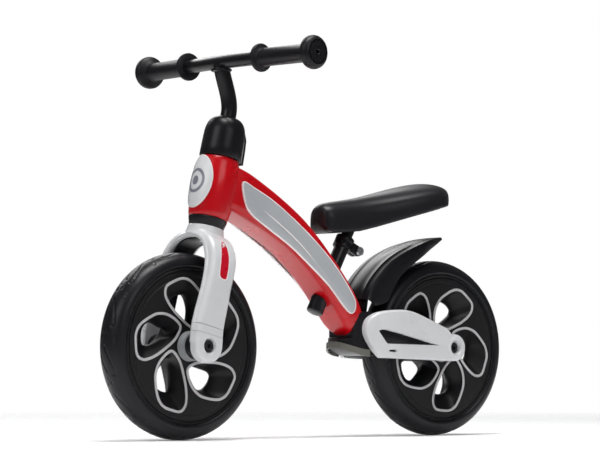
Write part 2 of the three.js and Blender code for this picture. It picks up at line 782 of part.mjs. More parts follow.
// ---- saddle -------------------------------------------------------------
// local frame: X along the underside, zero at the nose
const tilt = THREE.MathUtils.degToRad(saddleTilt);
const postTopX = seatFootX - collarHead * Math.sin(seatAngle);
const saddleRise = (saddleNose - postTopX) * Math.tan(tilt);
const saddleGroup = group(saddleNose, 0, saddleFrontHeight - saddleRise, -saddleTilt);
saddleGroup.rotation.y = tilt;
function saddlePlan(shrink) {
  const back = -saddleLength + shrink;
  const rear = saddleRearHalfWidth - shrink;
  const nose = saddleNoseHalfWidth - shrink;
  const edge = [
    [-shrink, 0], [-3 - shrink, nose * 0.5], [-14, nose * 0.93], [-45, nose + 1], [-82, nose + 6],
    [-120, rear - 16], [-150, rear - 4], [-178, rear], [back + 18, rear - 10], [back + 5, rear - 28],
    [back, rear - 48], [back, 0],
  ];
  const half = outline(edge);
  const other = half.slice(1, -1).map((p) => new THREE.Vector2(p.x, -p.y)).reverse();
  return new THREE.Shape([...half, ...other]);
}
function saddleLayer(shrink, low, high, rounding) {
  const geometry = new THREE.ExtrudeGeometry(saddlePlan(shrink), {
    depth: high - low - 2 * rounding,
    bevelEnabled: rounding > 0,
    bevelThickness: rounding,
    bevelSize: rounding,
    bevelOffset: -rounding,
    bevelSegments: 2,
  });
  return geometry.translate(0, 0, low + rounding);
}
const basePlate = 5;
add('saddle_pad', merged(saddleLayer(0, basePlate + fit, saddleThickness + basePlate, 9)), blackRubber, saddleGroup);
function saddleBase() {
  const plate = saddleLayer(5, 1, basePlate, 0);
  const postHole = carry(turned(rodProfile(seatPostRadius + fit, 0, collarHead + 60)), seatFrame, saddleGroup);
  return cut(plate, postHole);
}
add('saddle_base', saddleBase(), blackPlastic, saddleGroup);
// the post is cut off level with the top of the saddle's base
function seatPost() {
  const above = box(-saddleLength, 50, -50, 50, basePlate - fit, 120);
  return cut(turned(rodProfile(seatPostRadius, postFoot, postHead)), carry(above, saddleGroup, seatFrame));
}
add('seat_post', seatPost(), blackPaint, seatFrame);

// ---- saddle small parts -------------------------------------------------
const noseCoverLength = 28;
function noseCover() {
  const oval = new THREE.Shape();
  oval.absellipse(-6 - noseCoverLength / 2, 0, noseCoverLength / 2, 13, 0, Math.PI * 2);
  return merged(new THREE.ExtrudeGeometry(oval, { depth: 3, bevelEnabled: false, curveSegments: 10 })
    .translate(0, 0, 1 - 3 - fit));
}
add('saddle_nose_cover', noseCover(), blackPlastic, saddleGroup);

// ---- rear yoke ----------------------------------------------------------
// the black bracket that carries the rear wheel, open round the tyre
const wheelRoom = tyreRadius + 4;
const rearX = -wheelbase / 2;
function yokeShape() {
  return new THREE.Shape([
    ...outline([[-62, 166], [-66, 174], [-74, 177.5], [-100, 175], [-150, 164], [-200, 148], [rearX, 141]]),
    new THREE.Vector2(rearX - 13, 127), new THREE.Vector2(rearX - 8, 116), new THREE.Vector2(rearX, 113),
    ...outline([[-200, 114], [-100, 115], [-70, 116], [-50, 122], [-42, 132], [-42, 139], [-58, 141]]),
  ]);
}
// seen from above, the arms draw in towards the front and end in a rounded tray
const taperFrom = -125;
const taperSlope = 0.222;
const trayX = -73;
function drawnIn(x, across) {
  return across - Math.max(0, x - taperFrom) * taperSlope;
}
function extruded(plan, depth) {
  return new THREE.ExtrudeGeometry(plan, { depth, bevelEnabled: false, curveSegments: 12 });
}
function trayPlan(grow, back) {
  const side = yokeOutside + grow;
  const radius = drawnIn(trayX, side);
  const plan = new THREE.Shape();
  plan.moveTo(back, -drawnIn(back, side));
  if (back < taperFrom) plan.lineTo(taperFrom, -side);
  plan.lineTo(trayX, -radius);
  plan.absarc(trayX, 0, radius, -Math.PI / 2, Math.PI / 2);
  if (back < taperFrom) plan.lineTo(taperFrom, side);
  plan.lineTo(back, drawnIn(back, side));
  return plan;
}
// a side view between two distances from the middle, drawn in like the arms
function besideArms(shape, low, high, rounding = 0) {
  const back = rearX - 60;
  const front = -40;
  const band = new THREE.Shape([
    [back, low], [taperFrom, low], [front, drawnIn(front, low)], [front, drawnIn(front, high)], [taperFrom, high],
    [back, high],
  ].map(([x, y]) => new THREE.Vector2(x, y)));
  return common(sidePlate(shape, 5, Math.max(high, coverOutside), rounding), extruded(band, 300));
}
function yoke() {
  const body = common(sidePlate(yokeShape(), -yokeOutside, yokeOutside), extruded(trayPlan(0, rearX - 60), 300));
  const tyre = turnedAcross(rodProfile(wheelRoom, -yokeInside, yokeInside), wheelFacets).translate(rearX, 0, tyreRadius);
  const axleHole = turnedAcross(rodProfile(axleRadius + fit, -60, 60), 16).translate(rearX, 0, tyreRadius);
  return cut(body, tyre, axleHole, beamSolid(fit));
}
add('rear_yoke', yoke(), blackPlastic);

// the band round the lower edge of the tray
const bandWall = 2.4;
const bandLow = 113.5;
const bandHeight = 10;
const bandBack = -82;
const bandRing = cut(
  extruded(trayPlan(fit + bandWall, bandBack), bandHeight),
  extruded(trayPlan(fit, bandBack - 1), bandHeight + 2).translate(0, 0, -1),
);
add('tray_band', bandRing.translate(0, 0, bandLow), greyPlastic);

// ---- white covers over the yoke's arms ----------------------------------
function coverShape() {
  const shape = new THREE.Shape([
    ...outline([[-76, 136], [-71.5, 147], [-71.5, 157], [-76, 167], [-87, 174.5], [-104, 178.8],
      [-132, 180.5], [-152, 178],
      [-185, 167], [-218, 155]]),
  ]);
  shape.absarc(rearX, tyreRadius, coverBossRadius, Math.PI * 0.4, Math.PI * 1.5);
  for (const [x, z] of [[-200, 108.5], [-96, 112], [-86, 121]]) shape.lineTo(x, z);
  return shape;
}
const pocketOutline = [[-90, 151], [-99, 153], [-201, 130], [-104, 132]];
const pocketDepth = 5;
function pocket(scale) {
  const middleX = -118;
  const middleZ = 141;
  const points = pocketOutline.map(([x, z]) => [middleX + (x - middleX) * scale, middleZ + (z - middleZ) * scale]);
  return shapeFrom(points);
}
function cover(sign) {
  const body = besideArms(coverShape(), yokeOutside + fit, coverOutside, 3);
  const recess = besideArms(pocket(1), coverOutside - pocketDepth, coverOutside + 5);
  const boltWell = turnedAcross([
    [0, yokeInside], [boltHeadRadius + 0.6, yokeInside], [boltHeadRadius + 0.6, coverOutside - 6],
    [boltHeadRadius + 1.5, coverOutside + 2], [0, coverOutside + 2],
  ]).translate(rearX, 0, tyreRadius);
  const slot = box(-117, -107, coverOutside - 7, coverOutside + 5, 121, 123.5);
  const made = cut(body, recess, boltWell, slot);
  return sign > 0 ? made : mirrored(made);
}
// the same piece for the other side of the bike
function mirrored(geometry) {
  const other = merged(geometry);
  const index = other.index.array;
  for (let i = 0; i < index.length; i += 3) [index[i], index[i + 1]] = [index[i + 1], index[i]];
  return reshape(other, (point) => { point.y = -point.y; });
}
for (const [side, sign] of bothSides) {
  add(`rear_cover_${side}`, cover(sign), whitePlastic);
  const insert = besideArms(pocket(0.93), coverOutside - pocketDepth + fit, coverOutside - pocketDepth + 2);
  add(`cover_insert_${side}`, sign > 0 ? insert : mirrored(insert), blackPlastic);
}

// ---- mudguard -----------------------------------------------------------
const guardTop = [[-252, 287], [-212, 281], [-168, 267], [-130, 248], [-104, 226], [-90, 208], [-84, 194]];
const guardEdge = [[-88, 186], [-100, 188], [-118, 193], [-126, 205], [-142, 227], [-168, 247], [-205, 267]];
function guardWidth(x) {
  const share = THREE.MathUtils.clamp((x - guardTop[0][0]) / 80, 0, 1);
  return 0.1 + 0.9 * Math.sin((share * Math.PI) / 2);
}
function mudguard() {
  const shape = new THREE.Shape([...outline(guardTop), ...outline(guardEdge)]);
  const under = outline(guardTop).map((p) => new THREE.Vector2(p.x - 2.2, p.y - 2));
  const lowEnd = [new THREE.Vector2(-60, 150), new THREE.Vector2(-250, 150)];
  const hollow = new THREE.Shape([...under, ...lowEnd]);
  const wide = sidePlate(shape, -mudguardHalfWidth, mudguardHalfWidth);
  const inner = sidePlate(hollow, -mudguardHalfWidth + mudguardWall, mudguardHalfWidth - mudguardWall);
  return reshape(cut(wide, inner), (point) => { point.y *= guardWidth(point.x); });
}
add('mudguard', mudguard(), blackPlastic);

function mudguardStrut() {
  const shape = shapeFrom([[-99, 176.6], [-92, 176.6], [-92, 196], [-97, 205], [-104, 212], [-103, 198]]);
  return merged(sidePlate(shape, -9, 9));
}
add('mudguard_strut', mudguardStrut(), blackPlastic);

export default bike;
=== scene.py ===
import bmesh
import bpy
import math
from mathutils import Matrix, Vector
from mathutils.bvhtree import BVHTree


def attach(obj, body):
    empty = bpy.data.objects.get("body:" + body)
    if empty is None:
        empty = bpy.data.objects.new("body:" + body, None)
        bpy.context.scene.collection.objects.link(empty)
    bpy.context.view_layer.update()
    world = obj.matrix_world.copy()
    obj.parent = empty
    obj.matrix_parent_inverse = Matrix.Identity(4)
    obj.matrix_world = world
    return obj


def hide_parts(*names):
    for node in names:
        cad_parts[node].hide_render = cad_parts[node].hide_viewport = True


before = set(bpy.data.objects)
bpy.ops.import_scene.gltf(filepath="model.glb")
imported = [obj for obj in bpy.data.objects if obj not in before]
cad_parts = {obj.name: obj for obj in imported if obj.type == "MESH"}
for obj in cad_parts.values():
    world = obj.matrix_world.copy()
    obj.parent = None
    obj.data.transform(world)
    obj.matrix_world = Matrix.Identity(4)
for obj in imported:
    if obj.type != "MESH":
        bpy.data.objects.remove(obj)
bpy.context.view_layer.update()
print("frame loaded")

# camera, floor and light
studio = {
    "eye": (2.6450, 3.0574, 0.0972),
    "target": (0.0191, 0.0, 0.2985),
    "lens": 172.18,
    "floorColour": (0.95, 0.95, 0.955),
    "floorGlow": 0.07,
    "backgroundStrength": 1.0,
    "roomStrength": 0.10,
    "floorSolid": 1.0,
    "floorEnd": 2.6,
}


def aimed(thing, place, target):
    thing.location = place
    thing.rotation_mode = "QUATERNION"
    thing.rotation_quaternion = (Vector(target) - Vector(place)).to_track_quat("-Z", "Y")
    bpy.context.scene.collection.objects.link(thing)
    return thing


camera = aimed(bpy.data.objects.new("camera", bpy.data.cameras.new("camera")), studio["eye"],
               studio["target"])
camera.data.sensor_width = 36
camera.data.lens = studio["lens"]
camera.data.clip_start = 0.05
bpy.context.scene.camera = camera
bpy.context.scene.view_settings.view_transform = "Standard"

world = bpy.data.worlds.new("studio")
bpy.context.scene.world = world
world.use_nodes = True
worldNodes, worldLinks = world.node_tree.nodes, world.node_tree.links
room = worldNodes["Background"]
room.inputs["Color"].default_value = (1, 1, 1, 1)
room.inputs["Strength"].default_value = studio["roomStrength"]
plain = worldNodes.new("ShaderNodeBackground")
plain.inputs["Color"].default_value = (1, 1, 1, 1)
plain.inputs["Strength"].default_value = studio["backgroundStrength"]
seen = worldNodes.new("ShaderNodeLightPath")
pick = worldNodes.new("ShaderNodeMixShader")
worldLinks.new(seen.outputs["Is Camera Ray"], pick.inputs["Fac"])
worldLinks.new(room.outputs["Background"], pick.inputs[1])
worldLinks.new(plain.outputs["Background"], pick.inputs[2])
worldLinks.new(pick.outputs["Shader"], worldNodes["World Output"].inputs["Surface"])

# name: place, target, width, height, power
lamps = {
    "keyBox": ((3.2, 0.2, 2.2), (0, 0, 0.3), 1.8, 1.6, 24),
    "sideBox": ((0.4, 3.4, 2.1), (0, 0, 0.3), 1.8, 1.4, 20),
    "backBox": ((-0.8, -2.4, 2.1), (0, 0, 0.3), 2.4, 1.0, 34),
    "topBox": ((0.1, 0.3, 2.3), (0, 0, 0.2), 1.2, 1.0, 52),
}
for lampName, (place, target, width, height, power) in lamps.items():
    lamp = bpy.data.lights.new(lampName, "AREA")
    lamp.shape = "RECTANGLE"
    lamp.size = width
    lamp.size_y = height
    lamp.energy = power
    aimed(bpy.data.objects.new(lampName, lamp), place, target).visible_camera = False


# node groups shared by the finishes
def newGroup(name, inputs, outputs):
    group = bpy.data.node_groups.new(name, "ShaderNodeTree")
    for socketName, kind, value in inputs:
        socket = group.interface.new_socket(name=socketName, in_out="INPUT", socket_type=kind)
        if value is not None:
            socket.default_value = value
    for socketName, kind in outputs:
        group.interface.new_socket(name=socketName, in_out="OUTPUT", socket_type=kind)
    nodes = group.nodes
    return group, nodes, group.links, nodes.new("NodeGroupInput"), nodes.new("NodeGroupOutput")


def moulding():
    # fine grain for a bump, and slow patches for colour and gloss
    group, nodes, links, given, out = newGroup(
        "mouldedSurface",
        [("Vector", "NodeSocketVector", None), ("Grain Scale", "NodeSocketFloat", 900.0),
         ("Patch Scale", "NodeSocketFloat", 14.0)],
        [("Grain", "NodeSocketFloat"), ("Patch", "NodeSocketFloat")])
    grain = nodes.new("ShaderNodeTexNoise")
    grain.inputs["Detail"].default_value = 3
    patch = nodes.new("ShaderNodeTexNoise")
    patch.inputs["Detail"].default_value = 4
    spread = nodes.new("ShaderNodeMapRange")
    spread.inputs["From Min"].default_value = 0.32
    spread.inputs["From Max"].default_value = 0.68
    links.new(given.outputs["Vector"], grain.inputs["Vector"])
    links.new(given.outputs["Grain Scale"], grain.inputs["Scale"])
    links.new(given.outputs["Vector"], patch.inputs["Vector"])
    links.new(given.outputs["Patch Scale"], patch.inputs["Scale"])
    links.new(patch.outputs["Fac"], spread.inputs["Value"])
    links.new(grain.outputs["Fac"], out.inputs["Grain"])
    links.new(spread.outputs["Result"], out.inputs["Patch"])
    return group


def pebbles():
    # rounded pebbling, as in a moulded skin
    group, nodes, links, given, out = newGroup(
        "pebbledSkin",
        [("Vector", "NodeSocketVector", None), ("Scale", "NodeSocketFloat", 700.0)],
        [("Height", "NodeSocketFloat")])
    cells = nodes.new("ShaderNodeTexVoronoi")
    cells.feature = "SMOOTH_F1"
    links.new(given.outputs["Vector"], cells.inputs["Vector"])
    links.new(given.outputs["Scale"], cells.inputs["Scale"])
    links.new(cells.outputs["Distance"], out.inputs["Height"])
    return group


mouldedSurface = moulding()
pebbledSkin = pebbles()

# name: colour, colour of the slow patches, roughness range, grain scale, bump in mm, and the
# shader's own constants
finishes = {
    "redLacquer": ((0.55, 0.0003, 0.006), (0.52, 0.0003, 0.0055), (0.26, 0.32), 260, 0.012,
                   dict(coat=0.25, coatRough=0.1, glint=0.3)),
    "whiteGloss": ((0.688, 0.697, 0.705), (0.662, 0.671, 0.688), (0.26, 0.34), 500, 0.01,
                   dict(glint=0.4, coat=0.35, coatRough=0.08)),
    "panelGrey": ((0.54, 0.56, 0.58), (0.50, 0.52, 0.55), (0.34, 0.42), 1600, 0.01, dict(metal=0.25)),
    # pale lines: the stripe's own printed outline, and painted highlights on the side panels' edging and
    # crease
    "paleLineAndHighlight": ((0.92, 0.86, 0.87), (0.90, 0.84, 0.85), (0.3, 0.38), 900, 0.01, dict()),
    # grey lines: the rim openings' own raised outlines, and painted highlights along the cap tongue's and
    # the mudguard's edges
    "silverLineAndHighlight": ((0.52, 0.51, 0.52), (0.48, 0.47, 0.48), (0.34, 0.45), 1200, 0.01, dict()),
    "satinBlack": ((0.0085, 0.008, 0.0105), (0.007, 0.0065, 0.0085), (0.28, 0.35), 1300, 0.02, dict()),
    "discBlack": ((0.0072, 0.0070, 0.0082), (0.006, 0.0058, 0.0068), (0.40, 0.50), 1500, 0.025, dict()),
    "tyreFoam": ((0.009, 0.0085, 0.011), (0.0075, 0.007, 0.009), (0.32, 0.40), 800, 0.035, dict()),
    "gripRubber": ((0.009, 0.0085, 0.0105), (0.0075, 0.007, 0.009), (0.36, 0.45), 1100, 0.03, dict()),
    "powderBlack": ((0.0085, 0.008, 0.010), (0.007, 0.0068, 0.0085), (0.28, 0.36), 1000, 0.02,
                    dict(coat=0.2, coatRough=0.2)),
    "saddleSkin": ((0.0085, 0.008, 0.0105), (0.007, 0.0065, 0.0085), (0.32, 0.40), 600, 0.03,
                   dict(pebble=900, sheen=0.05)),
    "hubGrey": ((0.30, 0.31, 0.32), (0.27, 0.28, 0.29), (0.36, 0.46), 1200, 0.02, dict()),
    "zincSteel": ((0.50, 0.51, 0.53), (0.42, 0.43, 0.45), (0.28, 0.42), 1400, 0.02, dict(metal=1.0)),
    "darkSteel": ((0.05, 0.05, 0.055), (0.035, 0.035, 0.04), (0.3, 0.42), 1400, 0.02, dict(metal=0.8)),
    "badgeFace": ((0.70, 0.71, 0.725), (0.67, 0.68, 0.70), (0.24, 0.3), 900, 0.008,
                  dict(coat=0.5, coatRough=0.06)),
    "badgeRim": ((0.82, 0.80, 0.80), (0.80, 0.78, 0.78), (0.22, 0.28), 900, 0.008,
                 dict(coat=0.5, coatRough=0.06)),
    # the tray band: grey partly its own colour and partly a painted reflection of the floor
    "bandGreyAndReflection": ((0.20, 0.20, 0.175), (0.17, 0.17, 0.15), (0.24, 0.36), 900, 0.02, dict(metal=0.3)),
    "badgeMark": ((0.19, 0.195, 0.235), (0.25, 0.255, 0.30), (0.26, 0.34), 900, 0.008,
                  dict(coat=0.4, coatRough=0.08)),
    "stripeRed": ((0.58, 0.004, 0.02), (0.54, 0.004, 0.018), (0.24, 0.3), 900, 0.008,
                  dict(coat=0.4, coatRough=0.08)),
}


def makeFinish(name, colour, patches, rough, grain, bumpHeight, extra):
    material = bpy.data.materials.new(name)
    material.use_nodes = True
    nodes, links = material.node_tree.nodes, material.node_tree.links
    shader = nodes["Principled BSDF"]
    place = nodes.new("ShaderNodeTexCoord")
    surface = nodes.new("ShaderNodeGroup")
    surface.node_tree = mouldedSurface
    surface.inputs["Grain Scale"].default_value = grain
    surface.inputs["Patch Scale"].default_value = 16
    links.new(place.outputs["Object"], surface.inputs["Vector"])
    tint = nodes.new("ShaderNodeMix")
    tint.data_type = "RGBA"
    tint.inputs["A"].default_value = (*colour, 1)
    tint.inputs["B"].default_value = (*patches, 1)
    links.new(surface.outputs["Patch"], tint.inputs["Factor"])
    links.new(tint.outputs["Result"], shader.inputs["Base Color"])
    gloss = nodes.new("ShaderNodeMapRange")
    gloss.inputs["To Min"].default_value = rough[0]
    gloss.inputs["To Max"].default_value = rough[1]
    links.new(surface.outputs["Patch"], gloss.inputs["Value"])
    links.new(gloss.outputs["Result"], shader.inputs["Roughness"])
    bump = nodes.new("ShaderNodeBump")
    bump.inputs["Strength"].default_value = 0.6
    bump.inputs["Distance"].default_value = bumpHeight / 1000
    height = surface.outputs["Grain"]
    if "pebble" in extra:
        skin = nodes.new("ShaderNodeGroup")
        skin.node_tree = pebbledSkin
        skin.inputs["Scale"].default_value = extra["pebble"]
        links.new(place.outputs["Object"], skin.inputs["Vector"])
        both = nodes.new("ShaderNodeMath")
        both.operation = "MULTIPLY_ADD"
        both.inputs[1].default_value = 0.8
        links.new(skin.outputs["Height"], both.inputs[0])
        links.new(surface.outputs["Grain"], both.inputs[2])
        height = both.outputs[0]
    links.new(height, bump.inputs["Height"])
    links.new(bump.outputs["Normal"], shader.inputs["Normal"])
    for socket, key, usual in (("Metallic", "metal", 0), ("Coat Weight", "coat", 0),
                               ("Coat Roughness", "coatRough", 0.05), ("Sheen Weight", "sheen", 0),
                               ("Specular IOR Level", "glint", 0.25)):
        shader.inputs[socket].default_value = extra.get(key, usual)
    return material


finish = {name: makeFinish(name, *values) for name, values in finishes.items()}
print("finishes made:", len(finish))


# ways of making a piece, in millimetres in the shared frame
def curveThrough(points, per=6, closed=False):
    # a soft line through the given points, with centripetal spacing
    spots = [Vector(p) for p in points]
    count = len(spots)
    made = []
    for i in range(count if closed else count - 1):
        if closed:
            a, b, c, d = (spots[(i + k) % count] for k in (-1, 0, 1, 2))
        else:
            b, c = spots[i], spots[i + 1]
            a = spots[i - 1] if i > 0 else b * 2 - c
            d = spots[i + 2] if i + 2 < count else c * 2 - b
        ta = 0.0
        tb = ta + max((b - a).length, 1e-6) ** 0.5
        tc = tb + max((c - b).length, 1e-6) ** 0.5
        td = tc + max((d - c).length, 1e-6) ** 0.5
        for step in range(per):
            t = tb + (tc - tb) * step / per
            ab = a * ((tb - t) / (tb - ta)) + b * ((t - ta) / (tb - ta))
            bc = b * ((tc - t) / (tc - tb)) + c * ((t - tb) / (tc - tb))
            cd = c * ((td - t) / (td - tc)) + d * ((t - tc) / (td - tc))
            abc = ab * ((tc - t) / (tc - ta)) + bc * ((t - ta) / (tc - ta))
            bcd = bc * ((td - t) / (td - tb)) + cd * ((t - tb) / (td - tb))
            made.append(abc * ((tc - t) / (tc - tb)) + bcd * ((t - tb) / (tc - tb)))
    if not closed:
        made.append(spots[-1])
    return made


def grown(points, amount):
    # a closed flat outline moved outwards by an amount
    spots = [Vector(p) for p in points]
    count = len(spots)
    area = sum(a.x * b.y - b.x * a.y for a, b in zip(spots, spots[1:] + spots[:1]))
    side = 1 if area > 0 else -1
    moved = []
    for i in range(count):
        before = (spots[i] - spots[i - 1]).normalized()
        after = (spots[(i + 1) % count] - spots[i]).normalized()
        along = (before + after).normalized()
        moved.append(spots[i] + Vector((along.y, -along.x)) * amount * side)
    return moved


def spun(profile, steps=96, closed=False):
    # a profile of (radius, height) turned about Z
    bm = bmesh.new()
    rim = [bm.verts.new((radius, 0, height)) for radius, height in profile]
    pairs = zip(rim, rim[1:] + rim[:1]) if closed else zip(rim, rim[1:])
    edges = [bm.edges.new(pair) for pair in pairs]
    bmesh.ops.spin(bm, geom=rim + edges, cent=(0, 0, 0), axis=(0, 0, 1), dvec=(0, 0, 0), angle=math.tau,
                   steps=steps, use_merge=True)
    bmesh.ops.remove_doubles(bm, verts=bm.verts, dist=1e-4)
    bmesh.ops.recalc_face_normals(bm, faces=bm.faces)
    return bm


def placed(bm, matrix):
    bmesh.ops.transform(bm, matrix=matrix, verts=bm.verts)
    if matrix.determinant() < 0:
        bmesh.ops.reverse_faces(bm, faces=bm.faces)
    return bm


def turnAcross(x, z, side=1):
    # stands a turned piece on the bike's left or right, with its axis along Y
    return Matrix.Translation((x, 0, z)) @ Matrix.Rotation(math.radians(-90 * side), 4, "X")


def softEdges(bm, offset, segments=3, keep=None):
    # rounds the edges that turn by more than 40 degrees
    sharp = [e for e in bm.edges if len(e.link_faces) == 2 and e.calc_face_angle() > math.radians(40)
             and (keep is None or keep(e))]
    bmesh.ops.bevel(bm, geom=sharp, offset=offset, offset_type="OFFSET", segments=segments, profile=0.5,
                    affect="EDGES", material=-1, clamp_overlap=True)
    return bm


def plate(points, low, high, edge=0, segments=3, keep=None):
    # a flat outline of (x, z) given a thickness along Y
    bm = bmesh.new()
    face = bm.faces.new([bm.verts.new((p[0], low, p[1])) for p in points])
    made = bmesh.ops.extrude_face_region(bm, geom=[face])
    moved = [v for v in made["geom"] if isinstance(v, bmesh.types.BMVert)]
    bmesh.ops.translate(bm, vec=(0, high - low, 0), verts=moved)
    bmesh.ops.recalc_face_normals(bm, faces=bm.faces)
    return softEdges(bm, edge, segments, keep=keep) if edge else bm


def edging(points, low, high, width, edge=0.3):
    # a raised line round an outline
    bm = bmesh.new()
    outer = grown(points, width / 2)
    face = bm.faces.new([bm.verts.new((p[0], low, p[1])) for p in outer])
    bm.normal_update()
    bmesh.ops.inset_region(bm, faces=[face], thickness=width, use_even_offset=True, use_boundary=True)
    bmesh.ops.delete(bm, geom=[face], context="FACES_ONLY")
    made = bmesh.ops.extrude_face_region(bm, geom=list(bm.faces), use_keep_orig=True)
    moved = [v for v in made["geom"] if isinstance(v, bmesh.types.BMVert)]
    bmesh.ops.translate(bm, vec=(0, high - low, 0), verts=moved)
    bmesh.ops.recalc_face_normals(bm, faces=bm.faces)
    return softEdges(bm, edge, 2)


def lofted(sections, closed=True):
    # sections with equal counts, each made from the last by extruding its edges
    bm = bmesh.new()
    loop = [bm.verts.new(p) for p in sections[0]]
    count = len(loop)
    edges = [bm.edges.new((loop[i], loop[(i + 1) % count])) for i in range(count if closed else count - 1)]
    first = list(edges)
    for section in sections[1:]:
        made = bmesh.ops.extrude_edge_only(bm, edges=edges)["geom"]
        after = {}
        for face in (g for g in made if isinstance(g, bmesh.types.BMFace)):
            for edge in face.edges:
                ends = set(edge.verts)
                old = [v for v in ends if v in loop]
                if len(old) == 1:
                    after[old[0]] = (ends - set(old)).pop()
        loop = [after[v] for v in loop]
        for vert, spot in zip(loop, section):
            vert.co = spot
        edges = [bm.edges.get((loop[i],
                               loop[(i + 1) % count])) for i in range(count if closed else count - 1)]
    if closed:
        bmesh.ops.edgeloop_fill(bm, edges=first)
        bmesh.ops.edgeloop_fill(bm, edges=edges)
    bmesh.ops.recalc_face_normals(bm, faces=bm.faces)
    return bm


def tubeAlong(path, radius, sides=32):
    # a round tube along a path, with its sections square to it
    spots = [Vector(p) for p in path]
    sections = []
    side = None
    for i, spot in enumerate(spots):
        ahead = (spots[min(i + 1, len(spots) - 1)] - spots[max(i - 1, 0)]).normalized()
        side = (ahead.orthogonal() if side is None else side - ahead * side.dot(ahead)).normalized()
        other = ahead.cross(side)
        size = radius(i / (len(spots) - 1)) if callable(radius) else radius
        turns = [math.tau * k / sides for k in range(sides)]
        sections.append([spot + (side * math.cos(t) + other * math.sin(t)) * size for t in turns])
    return lofted(sections)


def joined(*parts):
    # several closed bodies in one mesh
    bm = bmesh.new()
    for part in parts:
        mesh = bpy.data.meshes.new("part")
        part.to_mesh(mesh)
        part.free()
        bm.from_mesh(mesh)
        bpy.data.meshes.remove(mesh)
    return bm


def worked(bm, steps, cutters=()):
    # the mesh after some modifiers, applied
    def holder(source):
        mesh = bpy.data.meshes.new("holder")
        source.to_mesh(mesh)
        source.free()
        thing = bpy.data.objects.new("holder", mesh)
        bpy.context.scene.collection.objects.link(thing)
        return thing
    body = holder(bm)
    tools = [holder(c) for c in cutters]
    for tool in tools:
        cut = body.modifiers.new("cut", "BOOLEAN")
        cut.operation = "DIFFERENCE"
        cut.solver = "EXACT"
        cut.object = tool
    for kind, settings in steps:
        step = body.modifiers.new(kind, kind)
        for key, value in settings.items():
            setattr(step, key, value)
    bpy.context.view_layer.update()
    mesh = bpy.data.meshes.new_from_object(body.evaluated_get(bpy.context.evaluated_depsgraph_get()))
    made = bmesh.new()
    made.from_mesh(mesh)
    bpy.data.meshes.remove(mesh)
    for thing in (body, *tools):
        old = thing.data
        bpy.data.objects.remove(thing)
        bpy.data.meshes.remove(old)
    return made


def carved(bm, *cutters):
    return worked(bm, [], cutters)


def fused(parts, voxel, smoothing):
    # overlapping bodies melted into one moulding
    return worked(joined(*parts), [
        ("REMESH", {"mode": "VOXEL", "voxel_size": voxel, "adaptivity": 0.0}),
        ("SMOOTH", {"factor": 0.5, "iterations": smoothing}),
    ])


def laidOn(bm, ground, direction, offset):
    # drops a flat piece's points onto another mesh along a direction
    tree = BVHTree.FromBMesh(ground)
    way = Vector(direction).normalized()
    for vert in bm.verts:
        hit = tree.ray_cast(vert.co - way * 60, way)[0]
        if hit is not None:
            vert.co = hit - way * offset
    return bm


def finished(bm, name, body, slotName, look, stands=(), sharp=38, levels=0):
    bmesh.ops.scale(bm, vec=(0.001,) * 3, verts=bm.verts)
    mesh = bpy.data.meshes.new(name)
    bm.to_mesh(mesh)
    bm.free()
    mesh.shade_smooth()
    mesh.set_sharp_from_angle(angle=math.radians(sharp))
    mesh.materials.append(finish[look])
    piece = bpy.data.objects.new(name, mesh)
    bpy.context.scene.collection.objects.link(piece)
    if levels:
        soft = piece.modifiers.new("soft", "SUBSURF")
        soft.levels = levels
        soft.render_levels = levels
    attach(piece, body)
    if stands:
        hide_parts(*stands)
    return piece


def leaning(foot, degrees):
    # a frame whose height axis leans back from a foot on the bike
    return Matrix.Translation(foot) @ Matrix.Rotation(math.radians(-degrees), 4, "Y")


inSteering = leaning((229.149, 0, 125.790), 14)
inSeat = leaning((-8, 0, 177), 29)
sides = (("left", 1), ("right", -1))
flipped = {1: Matrix.Scale(1, 4, (0, 1, 0)), -1: Matrix.Scale(-1, 4, (0, 1, 0))}
# slot and finish of what many pieces are made of
satin = ("black_plastic", "satinBlack")
powder = ("black_paint", "powderBlack")
white = ("white_plastic", "whiteGloss")

# wheels
wheel = {
    "height": 127, "halfBase": 234, "tyreRadius": 127, "tyreHalfWidth": 22.8, "rimRadius": 106,
    "faceHalf": 21.2,
    "grooves": 12, "grooveHalfWidth": 0.85, "grooveDepth": 1.3,
    "lineWidth": 3.7, "lineRise": 0.75,
}
opening = [(24, 10), (44, -5), (56, -12), (69, -17), (79, -18), (88, -13), (91, 2), (90.5, 17), (83.5, 28.5),
           (59, 42), (50, 43.5), (37, 42), (22, 34), (15.5, 26)]
# the same corners where the opening is narrowest, halfway through the disc
throat = [(24, 12), (36, 8.5), (44, 5.5), (52, 2.5), (59, 0.5), (65, 2), (67.5, 9), (67, 18), (64, 26),
          (57, 31),
          (50, 31), (39, 26), (30, 23), (23.5, 18.5)]
# grooves on the tread, as (degrees, mm across)
treadStrokes = [
    [(0.0, -1.0), (3.5, 3.5), (8.0, 8.0), (12.5, 11.4), (16.5, 12.6), (18.2, 11.2), (17.4, 9.2)],
    [(16.0, 1.0), (12.5, -3.5), (8.0, -8.0), (3.5, -11.4), (-0.5, -12.6), (-2.2, -11.2), (-1.4, -9.2)],
    [(21.5, 2.6), (23.2, 3.6)], [(23.0, -4.0), (24.4, -5.4)], [(19.6, -1.2), (19.8, -1.2)],
    [(26.2, 14.8), (27.2, 14.8)],
    [(11.2, -14.8), (12.2, -14.8)],
]


def nearStroke(angle, across, strokes, millimetresPerDegree):
    best = 99.0
    for stroke in strokes:
        for (a0, y0), (a1, y1) in zip(stroke, stroke[1:]):
            ux, uy = (a1 - a0) * millimetresPerDegree, y1 - y0
            px, py = (angle - a0) * millimetresPerDegree, across - y0
            share = min(1, max(0, (px * ux + py * uy) / (ux * ux + uy * uy)))
            best = min(best, math.hypot(px - ux * share, py - uy * share))
    return best


